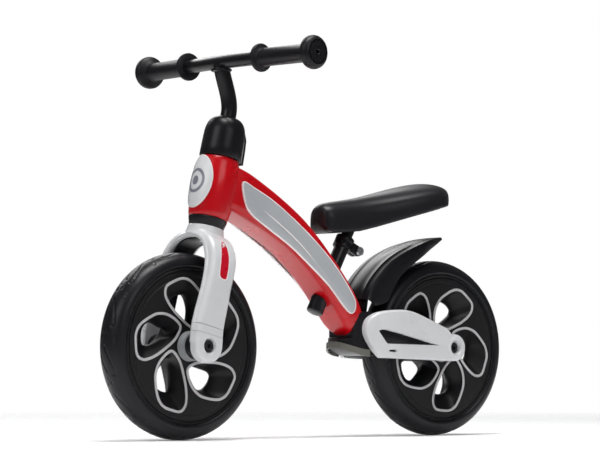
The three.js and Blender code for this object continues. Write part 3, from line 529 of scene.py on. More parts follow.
def tyre():
    seat, wide, top = wheel["rimRadius"] + 0.4, wheel["tyreHalfWidth"], wheel["tyreRadius"]
    profile = [(seat, -wide + 1.6), (seat + 1.0, -wide + 0.6), (seat + 1.6, -wide + 1.0),
               (seat + 2.4, -wide + 0.2)]
    shoulder = top - seat - 3
    steps = 46
    for i in range(steps + 1):
        angle = math.pi * i / steps
        profile.append((seat + 3 + shoulder * math.sin(angle) ** 0.9, -wide * math.cos(angle)))
    profile += [(r, -y) for r, y in reversed(profile[:4])]
    bm = spun(profile, steps=720, closed=True)
    pitch = 360 / wheel["grooves"]
    strokes = [[(a + shift, y) for a, y in stroke] for stroke in treadStrokes for shift in (-pitch, 0,
                                                                                            pitch)]
    reach = wheel["grooveHalfWidth"] * 1.6
    for vert in bm.verts:
        radius = math.hypot(vert.co.x, vert.co.y)
        if radius < seat + 9:
            continue
        angle = math.degrees(math.atan2(vert.co.y, vert.co.x)) % pitch
        gap = nearStroke(angle, vert.co.z, strokes, math.radians(1) * top)
        if gap < reach:
            sink = wheel["grooveDepth"] * (1 - (gap / reach) ** 2)
            vert.co.x *= 1 - sink / radius
            vert.co.y *= 1 - sink / radius
    return bm


def disc(hubFace):
    face, edge = wheel["faceHalf"], wheel["rimRadius"]
    half = [(11.4, hubFace), (17.9, hubFace), (17.9, face), (92.5, face), (93.1, face - 0.6),
            (94.3, face - 0.6),
            (94.9, face - 0.1), (100.6, face - 0.1), (101.8, face - 1.6), (102.8, face - 1.6),
            (103.6, face + 0.5),
            (105.0, face + 0.7), (edge, face - 0.2)]
    return spun([(r, -y) for r, y in half] + half[::-1], steps=160, closed=True)


def openingCutter(turn, mirror):
    # a scoop from each face, narrowing to the throat
    outline = grown(curveThrough(opening, per=6, closed=True), -wheel["lineWidth"] / 2 + 0.2)
    narrow = curveThrough(throat, per=6, closed=True)
    spin = Matrix.Rotation(turn, 2)
    sections = []
    for across, size in ((-24, 1.0), (-20.6, 1.0), (-18, 0.9), (-14, 0.68), (-9, 0.36), (-4.5, 0.1),
                         (-1.5, 0.0),
                         (1.5, 0.0), (4.5, 0.1), (9, 0.36), (14, 0.68), (18, 0.9), (20.6, 1.0), (24, 1.0)):
        ring = []
        for wide, tight in zip(outline, narrow):
            turned = spin @ tight.lerp(wide, size)
            ring.append((turned.x * mirror, across, turned.y))
        sections.append(ring)
    return lofted(sections)


def buildWheel(name, mirror, phase, hubFace, hubReach, spacerRadius, legFace, holder):
    # mirror is 1 for the front wheel and -1 for the rear one; the spacers ride on the holder
    x, body = wheel["halfBase"] * mirror, name + "_wheel"
    placeHere = Matrix.Translation((x, 0, wheel["height"]))
    finished(placed(plainTyre.copy(), turnAcross(x, wheel["height"])), name + "Tyre", body, "tyre",
             "tyreFoam", [name + "_tyre"], sharp=60)
    turns = [phase + math.radians(72 * k) for k in range(5)]
    cut = carved(placed(disc(hubFace), turnAcross(0, 0)), *[openingCutter(t, mirror) for t in turns])
    finished(placed(cut, placeHere), name + "Disc", body, "rim_plastic", "discBlack", [name + "_rim"],
             sharp=32)
    lines = []
    outline = curveThrough(opening, per=6, closed=True)
    for t in turns:
        ring = [Matrix.Rotation(t, 2) @ p for p in outline]
        ring = [Vector((p.x * mirror, p.y)) for p in ring]
        face = wheel["faceHalf"]
        for low, high in ((face - 0.3, face + wheel["lineRise"]), (-face + 0.3, -face - wheel["lineRise"])):
            lines.append(edging(ring, low, high, wheel["lineWidth"], edge=0.35))
    finished(placed(joined(*lines), placeHere), name + "DiscLines", body, "grey_plastic", "silverLineAndHighlight")
    for sideName, side in sides:
        face = wheel["faceHalf"] - 0.2
        sleeve = spun([(11.4, hubReach - 6.6), (11.4, hubReach - 0.6), (12.0, hubReach), (18.6, hubReach),
                       (19.6, hubReach - 0.5), (20.0, hubReach - 1.5), (20.2, face + 1), (20.8, face),
                       (17.6, face),
                       (17.6, hubReach - 6.6)], steps=72, closed=True)
        finished(placed(sleeve, turnAcross(x, wheel["height"], side)), f"{name}HubSleeve_{sideName}", body,
                 "grey_plastic", "hubGrey", [f"{name}_hub_sleeve_{sideName}"])
        spacer = spun([(4.4, hubReach + 0.4), (spacerRadius - 0.8, hubReach + 0.4),
                       (spacerRadius, hubReach + 1.2),
                       (spacerRadius, hubReach + 2.2), (spacerRadius - 0.7, hubReach + 3.0),
                       (spacerRadius - 1.0, legFace - 0.4), (4.4, legFace - 0.4)], steps=72, closed=True)
        finished(placed(spacer, turnAcross(x, wheel["height"], side)), f"{name}Spacer_{sideName}", holder,
                 *satin, [f"{name}_spacer_{sideName}"])


plainTyre = tyre()
buildWheel("front", mirror=1, phase=0.0, hubFace=26, hubReach=33, spacerRadius=18, legFace=50, holder="fork")
buildWheel("rear", mirror=-1, phase=math.radians(-17.5), hubFace=21.2, hubReach=28, spacerRadius=14,
           legFace=30,
           holder="frame")
plainTyre.free()
print("wheels made")

# fork, in the steering frame: local (depth, across, height)
fork = {
    "rear": -14, "rearHigh": -18, "frontHigh": 25, "frontLow": 31.5, "frontFoot": 28, "footFrom": 50,
    "crown": 168,
    "seamHigh": 26, "seamLow": 15.4, "lipRadius": 4.2, "voxel": 1.15, "smoothing": 5, "axleDepth": 5,
}
outerArch = [(66, 0), (66, 40), (65.7, 72), (63.8, 100), (58.5, 127), (45, 147), (28, 156.5), (14, 160),
             (0, 161)]
innerArch = [(50, 0), (50, 40), (49.5, 76), (47, 100), (41, 123), (28, 143), (12, 150), (0, 151)]


def bothLegs(points):
    # from the right foot over the arch to the left foot
    half = curveThrough(points, per=5)
    return [Vector((-p.x, p.y)) for p in half[:-1]] + half[::-1]


def between(value, low, high):
    share = min(1, max(0, (value - low) / (high - low)))
    return share * share * (3 - 2 * share)


def forkFront(height):
    leg = fork["frontLow"] + (fork["frontHigh"] - fork["frontLow"]) * between(height, 10, 125)
    return fork["frontFoot"] + (leg - fork["frontFoot"]) * between(height, -5, 32)


def forkRear(height):
    high = fork["rearHigh"] - fork["rear"]
    return fork["rear"] + high * between(height, 70, 120) + high * (1 - between(height, 0, 30))


def forkBody():
    count = 61

    def even(points):
        lengths = [0.0]
        for a, b in zip(points, points[1:]):
            lengths.append(lengths[-1] + (b - a).length)
        made, j = [], 0
        for i in range(count):
            goal = lengths[-1] * i / (count - 1)
            while j < len(points) - 2 and lengths[j + 1] < goal:
                j += 1
            share = (goal - lengths[j]) / max(lengths[j + 1] - lengths[j], 1e-9)
            made.append(points[j].lerp(points[j + 1], share))
        return made

    sections, lip = [], []
    for out, inn in zip(even(bothLegs(outerArch)), even(bothLegs(innerArch))):
        level = (out.y + inn.y) / 2
        front, back = forkFront(level), forkRear(level)
        around = []
        for depth, share in ((back + 3, 0.02), (back, 0.16), (back, 0.84), (back + 3.5, 0.98),
                             (back + 9, 1.0),
                             (front - 12, 1.0), (front - 5, 0.96), (front - 1.2, 0.8), (front, 0.55),
                             (front + 0.2, 0.2), (front - 2, 0.02), (back + 9, 0.0)):
            spot = inn.lerp(out, share)
            around.append((depth, spot.x, spot.y))
        sections.append(around)
        rim = inn.lerp(out, 0.2)
        lip.append((front - 2.2, rim.x, rim.y))
    arch = lofted(sections)
    lipTube = tubeAlong(lip, fork["lipRadius"], sides=16)
    crown = spun([(0, 148), (26, 150), (28, 154), (26.4, 159), (25.4, 164), (25.0, fork["crown"]),
                  (0, fork["crown"])], steps=64)
    feet = [placed(spun([(0, fork["footFrom"]), (21.5, fork["footFrom"]), (23, 51.5), (23, 61.5),
                         (22.2, 64.4),
                         (20, 66), (0, 66)], steps=64), turnAcross(fork["axleDepth"], 0, side)) for _,
                         side in sides]
    made = fused([arch, lipTube, crown, *feet], fork["voxel"], fork["smoothing"])
    cutters = []
    for _, side in sides:
        cutters.append(placed(spun([(0, 48), (4.6, 48), (4.6, 57.6), (8.3, 57.6), (8.7, 60.5), (10.2, 65.2),
                                    (11.2, 67),
                                    (0, 67)], steps=64), turnAcross(fork["axleDepth"], 0, side)))
    return carved(made, *cutters)


def keptSide(bm, height, above):
    # the part of a closed mesh above or below a level, with the cut closed
    cut = bmesh.ops.bisect_plane(bm, geom=list(bm.verts) + list(bm.edges) + list(bm.faces), dist=1e-5,
                                 plane_co=(0, 0, height), plane_no=(0, 0, 1), clear_inner=above,
                                 clear_outer=not above)
    edges = [g for g in cut["geom_cut"] if isinstance(g, bmesh.types.BMEdge)]
    bmesh.ops.edgeloop_fill(bm, edges=edges)
    return bm


wholeFork = forkBody()
# the leg, a band and the foot, with a fine groove between them
legs = keptSide(wholeFork.copy(), fork["seamHigh"] + 0.3, True)
band = keptSide(keptSide(wholeFork.copy(), fork["seamHigh"] - 0.3, False), fork["seamLow"] + 0.25, True)
feet = keptSide(wholeFork.copy(), fork["seamLow"] - 0.25, False)
forkGround = placed(wholeFork, inSteering)
for part, name, stands in ((legs, "forkLegs", ["fork"]), (band, "forkBands", ()), (feet, "forkFeet", ())):
    finished(placed(part, inSteering), name, "fork", *white, stands, sharp=50)

stripe = {"low": 94, "high": 146, "halfWidth": 6.2, "middle": 4.5, "edge": 1.5}


def stripeOutline(grow):
    # tapered at the top, rounded at the foot; (depth, height)
    half, mid = stripe["halfWidth"] + grow, stripe["middle"]
    low, high = stripe["low"] - grow, stripe["high"] + grow
    return [(mid - half + 1.5, low), (mid + half - 3, low), (mid + half - 0.8, low + 2.5),
            (mid + half, low + 6),
            (mid + half - 1, high - 14), (mid + half - 5, high - 2), (mid + half - 8.5, high),
            (mid - half + 0.4, high - 8), (mid - half, low + 4)]


def stripePiece(grow, offset, name, look):
    bm = bmesh.new()
    corners = curveThrough(stripeOutline(grow), per=3, closed=True)
    face = bm.faces.new([bm.verts.new((d, 90, h)) for d, h in corners])
    bmesh.ops.triangulate(bm, faces=[face])
    bmesh.ops.subdivide_edges(bm, edges=bm.edges, cuts=5, use_grid_fill=True)
    placed(bm, inSteering)
    laidOn(bm, forkGround, (0, -1, 0), offset)
    bmesh.ops.recalc_face_normals(bm, faces=bm.faces)
    if bm.faces[0].normal.y < 0:
        bmesh.ops.reverse_faces(bm, faces=bm.faces)
    thick = worked(bm, [("SOLIDIFY", {"thickness": 0.3, "offset": -1})])
    return finished(thick, name, "fork", "red_paint", look, sharp=50)


stripePiece(stripe["edge"], 0.12, "stripeEdge", "paleLineAndHighlight")
stripePiece(0, 0.3, "stripe", "stripeRed")
forkGround.free()

liningOuter = bothLegs([(49.4, 28), (48.9, 76), (46.4, 100), (40.5, 122.6), (27.7, 142.5), (12, 149.5),
                        (0, 150.5)])
liningInner = bothLegs([(47.4, 28), (46.9, 76), (44.4, 99), (38.8, 121.4), (26.4, 140.8), (12, 147.5),
                        (0, 148.5)])
liningRear, liningInset = -11, 6
lining = []
for out, inn in zip(liningOuter, liningInner):
    rear, front = liningRear, forkFront(out.y) - liningInset
    lining.append([(d, o.x, o.y) for d, o in ((rear, out), (front, out), (front, inn), (rear, inn))])
finished(placed(lofted(lining), inSteering), "forkLining", "fork", *satin, ["fork_lining"])
print("fork made")

# frame beam and head tube
beam = {"halfWidth": 30, "rounding": 6, "under": 11}
# x, half depth, z, and the share of the full width
beamStations = [(172, 30, 350, 0.76), (141, 29.5, 336, 1), (88, 26.8, 309, 1), (43, 24, 280.5, 1),
                (-4, 21, 238.5, 1),
                (-42, 20, 194, 1), (-58.5, 17.5, 169, 0.97), (-66, 12, 150, 0.74), (-66, 5, 138.5, 0.36)]


def beamBody():
    line = curveThrough([s[:3] for s in beamStations], per=8)
    shares = curveThrough([(s[3], 0, 0) for s in beamStations], per=8)
    sections = []
    for i, here in enumerate(line):
        step = line[min(i + 1, len(line) - 1)] - line[max(i - 1, 0)]
        length = math.hypot(step.x, step.z)
        up = Vector((-step.z / length, 0, step.x / length)) * -1
        depth, wide = here.y, beam["halfWidth"] * min(1, shares[i].x)
        ring = []
        for cornerAcross, cornerUp, start in ((1, 1, 0), (-1, 1, 90), (-1, -1, 180), (1, -1, 270)):
            soft = min(beam["rounding"] if cornerUp > 0 else beam["under"], depth * 0.9, wide * 0.9)
            for k in range(7):
                angle = math.radians(start + 15 * k)
                across = cornerAcross * (wide - soft) + soft * math.cos(angle)
                rise = cornerUp * (depth - soft) + soft * math.sin(angle)
                ring.append(Vector((here.x, across, here.z)) + up * rise)
        sections.append(ring)
    return lofted(sections)


headTube = [(0, 181.2), (26.6, 181.2), (27.4, 182.0), (28.8, 190), (30.2, 202), (31.3, 214), (31.7, 226),
            (31.3, 238),
            (30.1, 250), (28.4, 260), (27.4, 265.2), (26.6, 266), (0, 266)]
barrel = placed(spun(headTube, steps=96), inSteering)
barrelGround = barrel.copy()
finished(joined(beamBody(), barrel), "frameShell", "frame", "red_paint", "redLacquer", ["frame_beam"],
         sharp=50)

panel = {"low": 29.4, "high": 32.3, "lineWidth": 1.5}
panelOutline = [(148, 352), (130, 345), (95, 328), (53.5, 301), (20, 276), (-12, 248), (-38, 219),
                (-56, 193),
                (-57, 184), (-54, 177), (-48, 175), (-8, 213), (30, 243), (62, 266), (110, 294), (134, 309),
                (143, 320)]
panelCrease = [(112, 314), (86, 298), (50, 273), (20, 247), (-9, 219)]
for sideName, side in sides:
    turn = flipped[side]
    outline = curveThrough(panelOutline, per=5, closed=True)
    face = plate(outline, panel["low"], panel["high"], edge=0.9,
                 keep=lambda e: min(v.co.y for v in e.verts) > 31)
    finished(placed(face, turn), f"sidePanel_{sideName}", "frame", "grey_panel", "panelGrey",
             [f"side_panel_{sideName}"])
    # the raised edging round the panel is pale partly in its own colour and partly as a painted highlight
    # where its edge catches the light
    line = edging(outline, panel["low"], panel["high"] + 0.1, panel["lineWidth"], edge=0.2)
    finished(placed(line, turn), f"sidePanelLineAndHighlight_{sideName}", "frame", "badge", "paleLineAndHighlight")
    # a thin pale tube along the panel's crease: a painted highlight for the light the crease catches
    crease = curveThrough([(x, panel["high"] - 0.1, z) for x, z in panelCrease], per=6)
    thin = tubeAlong(crease, lambda s: 0.15 + 0.85 * math.sin(math.pi * min(1, s * 1.25)), sides=8)
    finished(placed(thin, turn), f"sidePanelCreaseHighlight_{sideName}", "frame", "badge", "paleLineAndHighlight")


def ovalSheet(segments, insets):
    # a flat disc of radius 1 with rings of faces
    bm = bmesh.new()
    bmesh.ops.create_circle(bm, cap_ends=True, segments=segments, radius=1.0)
    bm.normal_update()
    for amount in insets:
        centre = max(bm.faces, key=lambda f: len(f.verts))
        bmesh.ops.inset_region(bm, faces=[centre], thickness=amount, use_even_offset=True, use_boundary=True)
    return bm


def thickened(bm, towards, thick):
    # faces turned one way, and then a wall behind them
    for f in bm.faces:
        if f.normal.dot(towards) < 0:
            f.normal_flip()
    return worked(bm, [("SOLIDIFY", {"thickness": thick, "offset": -1})])


# head badge
badge = {"middle": 226.6, "halfHeight": 38, "halfWidth": 24}


def ovalPiece(scale, lift, thick, name, look, stands=(), hole=0.0):
    bm = ovalSheet(64, (0.06, 0.08, 0.1, 0.14, 0.16, 0.16, 0.14))
    if hole:
        bmesh.ops.delete(bm, geom=[v for v in bm.verts if v.co.length < hole], context="VERTS")
    bmesh.ops.transform(bm, verts=bm.verts, matrix=Matrix.Translation((60, 0, badge["middle"])) @ Matrix(
        ((0, 0, 1, 0), (badge["halfWidth"] * scale[0], 0, 0, 0), (0, badge["halfHeight"] * scale[1], 0, 0),
         (0, 0, 0, 1))))
    placed(bm, inSteering)
    laidOn(bm, barrelGround, inSteering.to_3x3() @ Vector((-1, 0, 0)), lift)
    finished(thickened(bm, Vector((1, 0, 0)), thick), name, "frame", "badge", look, stands, sharp=50)


ovalPiece((1.0, 1.0), 2.3, 2.7, "badgeRim", "badgeRim", ["head_badge"])
ovalPiece((0.93, 0.96), 2.5, 0.6, "badgeFace", "badgeFace")
ovalPiece((0.64, 0.46), 2.7, 0.4, "badgeRing", "badgeMark", hole=0.62)
ovalPiece((0.24, 0.17), 2.7, 0.4, "badgeDot", "badgeMark")
barrelGround.free()

collar = spun([(15.5, 168.4), (23.6, 168.4), (24.2, 169.0), (26.9, 179.9), (26.5, 180.7), (15.5, 180.7)],
              steps=72,
              closed=True)
finished(placed(collar, inSteering), "lowerCollar", "frame", *satin, ["lower_headset_collar"])
print("frame made")

# dome cap
cap = {"low": 267, "radius": 28.8, "dome": 299, "top": 325, "bore": 11.6}


def capBody():
    outside = [(cap["radius"] - 0.4, cap["low"]), (cap["radius"], cap["low"] + 0.6),
               (cap["radius"] + 0.1, 280),
               (cap["radius"] - 0.1, 292)]
    for i in range(13):
        angle = math.pi / 2 * i / 12
        outside.append((cap["bore"] + (cap["radius"] - 0.3 - cap["bore"]) * math.cos(angle) ** 0.86,
                        cap["dome"] + (cap["top"] - cap["dome"]) * math.sin(angle) ** 0.95))
    inside = [(cap["bore"], cap["top"] - 2.5), (16, cap["top"] - 5), (22, cap["dome"] + 14),
              (24.6, cap["dome"]),
              (25.2, cap["low"] + 0.4)]
    return spun(outside + inside, steps=96, closed=True)


finished(placed(capBody(), inSteering), "headCap", "fork", *satin, ["head_cap"])
tongueShape = [(-34.5, 266.4), (-28.6, 266.4), (-27.0, 290), (-24.0, 312), (-28.0, 310), (-32.0, 302),
               (-33.5, 288)]
tongue = plate(tongueShape, -10.5, 10.5, edge=1.2, segments=3)
finished(placed(tongue, inSteering), "capTongue", "fork", *satin, ["cap_tongue"])
# a thin grey tube down each edge of the tongue: a painted highlight on the tongue's edges
for sideName, side in sides:
    tongueHighlight = tubeAlong(curveThrough([(-29.2, 10.6 * side, 268.0), (-28.8, 10.6 * side, 285),
                                   (-27.2, 10.4 * side, 303)],
                                  per=6), 0.6, sides=8)
    finished(placed(tongueHighlight, inSteering), f"capTongueHighlight_{sideName}", "fork", "black_plastic", "silverLineAndHighlight")

# stem, bar and grips
bar = {
    "middle": (162, 518.5), "radius": 9.5, "halfLength": 187, "sweep": 14, "bend": 40, "stemRadius": 11,
    "gripRadius": 12.6, "collarRadius": 19.5, "flangeRadius": 23, "gripStart": 80,
}
slope = bar["sweep"] / (bar["halfLength"] - bar["bend"] / 2)
apex = slope * bar["bend"] / 2
barX, barZ = bar["middle"]


def barPoint(across):
    reach = abs(across)
    if reach > bar["bend"]:
        return Vector((barX + apex - slope * reach, across, barZ))
    share = reach / bar["bend"]
    return Vector((barX + apex - slope * bar["bend"] * (0.5 + 0.5 * share * share), across, barZ))


barPath = [barPoint(y) for y in (-182, -120, -80, -60, -50, -40, -32, -24, -16, -8, 0, 8, 16, 24, 32, 40,
                                 50, 60, 80,
                                 120, 182)]
finished(tubeAlong(barPath, bar["radius"]), "handlebarTube", "handlebar", *powder,
         ["handlebar_tube"])
stemTop = inSteering.inverted() @ Vector((barX, 0, barZ))
straight = [(0, 0, h) for h in (217, 250, 290, 331)]
bend = []
p0, p1 = Vector((0, 0, 331)), Vector((0, 0, 354))
p2, p3 = Vector((stemTop.x * 0.72, 0, stemTop.z - 24)), Vector((stemTop.x, 0, stemTop.z - 2))
for i in range(1, 15):
    t = i / 14
    bend.append(p0 * (1 - t) ** 3 + p1 * 3 * t * (1 - t) ** 2 + p2 * 3 * t * t * (1 - t) + p3 * t ** 3)
finished(placed(tubeAlong(straight + bend, bar["stemRadius"]), inSteering), "stem", "handlebar", *powder,
         ["stem"])
flange = spun([(0, -13.5), (12.2, -13.5), (14.2, -12.6), (14.6, -11.0), (14.2, -9.4), (12.0, -8.6),
               (0, -8.6)], steps=64)
placed(flange, Matrix.Translation((barX, 0, barZ)))
finished(flange, "stemFlange", "handlebar", *powder)


def gripBody():
    start, end = bar["gripStart"], math.hypot(bar["halfLength"], slope * bar["halfLength"])
    r, c, f = bar["gripRadius"], bar["collarRadius"], bar["flangeRadius"]
    profile = [(9.8, start - 3), (c - 1.2, start - 3), (c - 0.3, start - 2.5), (c, start - 1.4),
               (c, start + 0.6),
               (c - 0.4, start + 1.6), (c - 1.4, start + 2.2), (r + 2.2, start + 2.8),
               (r + 0.7, start + 3.8),
               (r, start + 6)]
    profile += [(r, end - 21), (r + 0.8, end - 18.5), (r + 4.5, end - 16.2), (f - 2.6, end - 14.6),
                (f - 0.9, end - 13.2), (f - 0.1, end - 11), (f, end - 8), (f - 0.6, end - 5),
                (f - 2.0, end - 2.6),
                (f - 4.2, end - 1.0), (17.0, end - 0.1), (16.6, end - 1.4), (15.0, end - 1.4),
                (14.6, end - 0.1),
                (3.4, end), (2.6, end - 0.8), (2.4, end - 3), (9.8, end - 3)]
    return spun(profile, steps=80, closed=True)


swept = math.atan(slope)
for sideName, side in sides:
    turn = Matrix.Translation((barX + apex, 0, barZ)) @ Matrix.Rotation(swept * side, 4,
                                                                        "Z") @ Matrix.Rotation(
        math.radians(-90 * side), 4, "X")
    finished(placed(gripBody(), turn), f"grip_{sideName}", "handlebar", "grip_rubber", "gripRubber",
             [f"grip_{sideName}"])
print("handlebar made")

# saddle
# x, underside, top, half width
saddleStations = [(-11.5, 303, 318, 7), (-13, 297, 325, 15), (-18, 291, 329.5, 21), (-27, 288.5, 332, 24.5),
                  (-45, 289.5, 334.5, 26), (-73, 292.5, 338.5, 29), (-100, 299, 344, 35),
                  (-130, 307.5, 351, 44),
                  (-158, 315.5, 357.5, 53), (-182, 322, 362.5, 59), (-203, 327.5, 366, 61),
                  (-215, 330, 366, 58),
                  (-221.5, 332, 364, 51), (-223, 336, 360, 44)]
# across and height, as shares of the half width and the thickness
saddleSection = [(0, 0), (0.5, 0.0), (0.88, 0.0), (0.97, 0.02), (0.995, 0.1), (1.0, 0.3), (0.985, 0.5),
                 (0.93, 0.66), (0.80, 0.79), (0.58, 0.90), (0.30, 0.975), (0, 1.0)]


def saddleBody():
    sections = []
    for x, low, high, half in saddleStations:
        right = [(x, half * a, low + (high - low) * h) for a, h in saddleSection]
        sections.append(right + [(x, -y, z) for x, y, z in right[-2:0:-1]])
    return lofted(sections)


pad = finished(saddleBody(), "saddlePad", "saddle", "saddle_foam", "saddleSkin", ["saddle_pad"], sharp=180,
               levels=3)

saddleGround = saddleBody()
saddleGround = worked(saddleGround, [("SUBSURF", {"levels": 3, "render_levels": 3})])


def noseCover(scale, offset, thick, name, look, stands=()):
    bm = ovalSheet(48, (0.08, 0.12, 0.16, 0.18, 0.18))
    facing = Vector((0.62, 0.0, -0.78)).normalized()
    along = Vector((0.78, 0, 0.62)).normalized()
    basis = Matrix(((0, along.x * 15 * scale, facing.x, -22), (14.5 * scale, 0, 0, 0),
                    (0, along.z * 15 * scale, facing.z, 296), (0, 0, 0, 1)))
    bmesh.ops.transform(bm, verts=bm.verts, matrix=basis)
    laidOn(bm, saddleGround, -facing, offset)
    finished(thickened(bm, facing, thick), name, "saddle", "black_plastic", look, stands, sharp=50)


noseCover(1.0, 0.8, 1.6, "noseCoverRim", "satinBlack", ["saddle_nose_cover"])
noseCover(0.86, 1.2, 0.8, "noseCoverFace", "gripRubber")
saddleGround.free()

baseSections = []
for x, low, high, half in saddleStations[3:-3]:
    y = half * 0.84
    baseSections.append([(x, y, low + 3), (x, -y, low + 3), (x, -y, low - 0.6), (x, y, low - 0.6)])
finished(lofted(baseSections), "saddleBase", "saddle", *satin, ["saddle_base"])

# seat tube, clamp and post
seat = {"boltX": -24.5, "boltH": 113, "earRadius": 7.2}
tubePiece = spun([(8.6, 2), (10.5, 2), (10.5, 116.4), (9.9, 117), (8.6, 117)], steps=64, closed=True)
finished(placed(tubePiece, inSeat), "seatTube", "frame", *powder, ["seat_tube"])
collarPiece = spun([(10.8, 104), (12.9, 104), (13.5, 104.6), (13.5, 112.4), (13.2, 112.9), (13.5, 113.4),
                    (13.5, 120.2),
                    (12.9, 121), (8.7, 121), (8.7, 117.4), (10.8, 117.4)], steps=72, closed=True)
finished(placed(collarPiece, inSeat), "seatClampRing", "frame", *satin, ["seat_clamp"])
earShape = [(-11.5, 119.4)]
for i in range(11):
    angle = math.radians(80 + 20 * i)
    earShape.append((seat["boltX"] + seat["earRadius"] * math.cos(angle),
                     seat["boltH"] + seat["earRadius"] * math.sin(angle)))
earShape.append((-11.5, 105.5))
for sideName, side in sides:
    ear = plate(earShape, 1.4, 8, edge=0.8, segments=3)
    finished(placed(placed(ear, flipped[side]), inSeat), f"seatClampEar_{sideName}", "frame",
             *satin)
hexes = bmesh.new()
bmesh.ops.create_cone(hexes, cap_ends=True, segments=6, radius1=2.5, radius2=2.5, depth=5)
placed(hexes, Matrix.Translation((seat["boltX"], 13.4, seat["boltH"])) @ Matrix.Rotation(math.radians(-90),
                                                                                         4, "X"))
boltHead = placed(spun([(0, 8.2), (5.6, 8.2), (6.1, 8.7), (6.1, 12.4), (5.5, 13), (0, 13)], steps=48),
                  Matrix.Translation((seat["boltX"], 0, seat["boltH"])) @ Matrix.Rotation(math.radians(-90),
                                                                                          4, "X"))
finished(placed(carved(boltHead, hexes), inSeat), "seatClampBoltHead", "frame", "steel", "zincSteel",
         ["seat_clamp_bolt"])
endCap = spun([(0, -1.6), (9.6, -1.6), (11.6, -0.8), (12.0, 0.6), (12.0, 15.6), (12.5, 16.4), (12.5, 19.6),
               (0, 19.6)],
              steps=64)
finished(placed(endCap, inSeat), "seatTubeEndCap", "frame", *satin, ["seat_tube_end_cap"])
print("saddle made")

# mudguard
guard = {"halfWidth": 30, "wall": 2.2, "ribRise": 0.8}
guardTop = [(-252, 287), (-212, 281), (-168, 267), (-130, 248), (-104, 226), (-90, 208), (-84, 194)]
guardEdge = [(-252, 286), (-205, 267), (-168, 247), (-142, 227), (-126, 205), (-118, 193), (-95, 186)]


def guardHalf(x):
    # half the width, which closes to a point at the back
    share = min(1, max(0, (x - guardTop[0][0]) / 80))
    return guard["halfWidth"] * (0.03 + 0.97 * math.sin(share * math.pi / 2))


def guardBody():
    top = curveThrough(guardTop, per=8)
    low = curveThrough(guardEdge, per=8)
    sections = []
    for i, (high, foot) in enumerate(zip(top, low)):
        half = guardHalf(high.x)
        drop = foot - high
        down = drop.normalized()
        ribs = min(1, i / 14) * guard["ribRise"]
        shape = [(1.0, 1.0, 0), (1.03, 0.6, 0), (1.02, 0.2, 0), (1.0, 0.07, 0.3), (0.97, 0.0, 0.9),
                 (0.92, 0.0, 0.5),
                 (0.84, 0, 0), (0.66, 0, 0.2), (0.6, 0, 0.9), (0.54, 0, 0.1), (0.3, 0, 0.3), (0.14, 0, 0.5),
                 (0.07, 0, 0.5), (0, 0, 0.5)]
        ring = []
        for across, dropShare, rise in shape:
            crown = (1 - across ** 2) * 3.0 * min(1, i / 10)
            spot = high + drop * dropShare - down * (rise * ribs + crown)
            ring.append((spot.x, across * half, spot.y))
        sections.append(ring + [(x, -y, z) for x, y, z in ring[-2::-1]])
    return lofted(sections, closed=False)


shell = worked(guardBody(), [("SOLIDIFY", {"thickness": guard["wall"], "offset": 1})])
finished(shell, "mudguard", "frame", *satin, ["mudguard"], sharp=30)
# thin grey tubes along the top edges of the guard's sides: a painted highlight for the bright edge between
# shell and skirt
edgeHighlights = []
highlightPath = curveThrough(guardTop, per=8)
for _, side in sides:
    highlight = []
    for high in highlightPath[3:-2]:
        highlight.append(Vector((high.x + 0.4, side * guardHalf(high.x) * 0.985, high.y + 0.2)))
    edgeHighlights.append(tubeAlong(highlight, lambda s: 0.25 + 0.45 * math.sin(math.pi * s), sides=8))
finished(joined(*edgeHighlights), "mudguardEdgeHighlight", "frame", "black_plastic", "silverLineAndHighlight")
strutShape = [(-99, 176.8), (-92, 176.8), (-92, 196), (-97, 205), (-104, 212), (-103, 198)]
finished(plate(strutShape, -9, 9, edge=1.2), "mudguardStrut", "frame", *satin,
         ["mudguard_strut"])

# rear yoke and covers
yoke = {"inside": 30, "outside": 41.5, "tyreRoom": 131, "axleHole": 4.5, "taperFrom": -125,
        "taperSlope": 0.222, "trayX": -73,
        "bandBack": -82, "bandLow": 113.5, "bandHigh": 123.5, "bandWall": 2.4}
yokeShape = (curveThrough([(-58, 141), (-58, 154), (-62, 166), (-66, 174), (-74, 177.5),
                            (-100, 175), (-150, 164), (-200, 148), (-234, 141)], per=4)
             + [Vector((-247, 127)), Vector((-242, 116)), Vector((-234, 113))]
             + curveThrough([(-200, 114), (-100, 115), (-80, 116), (-66, 119.5),
                            (-54, 125),
                            (-46, 131), (-42, 138)], per=4))


def drawnIn(x, across):
    # both arms close in towards the front
    return across - max(0, x - yoke["taperFrom"]) * yoke["taperSlope"]


def closedIn(bm):
    bmesh.ops.bisect_plane(bm, geom=bm.verts[:] + bm.edges[:] + bm.faces[:],
                           plane_co=(yoke["taperFrom"], 0, 0),
                           plane_no=(1, 0, 0))
    for vert in bm.verts:
        vert.co.y = math.copysign(drawnIn(vert.co.x, abs(vert.co.y)), vert.co.y)
    return bm


def trayEdge(grow, back, per=24):
    # the tray in plan, from one side round its front to the other
    radius = drawnIn(yoke["trayX"], yoke["outside"]) + grow
    ends = [(back, drawnIn(back, yoke["outside"]) + grow)] if back < yoke["trayX"] else []
    arc = [(yoke["trayX"] + radius * math.sin(math.pi * i / per), radius * math.cos(math.pi * i / per))
           for i in range(per + 1)]
    return ends + arc + [(x, -y) for x, y in ends]


def upright(points, low, high):
    # a plan raised from one height to another
    return placed(plate(points, low, high), Matrix(((1, 0, 0, 0), (0, 0, 1, 0), (0, 1, 0, 0), (0, 0, 0, 1))))


def rod(radius, reach, steps):
    return placed(spun([(0, -reach), (radius, -reach), (radius, reach), (0, reach)], steps=steps), rearHub)


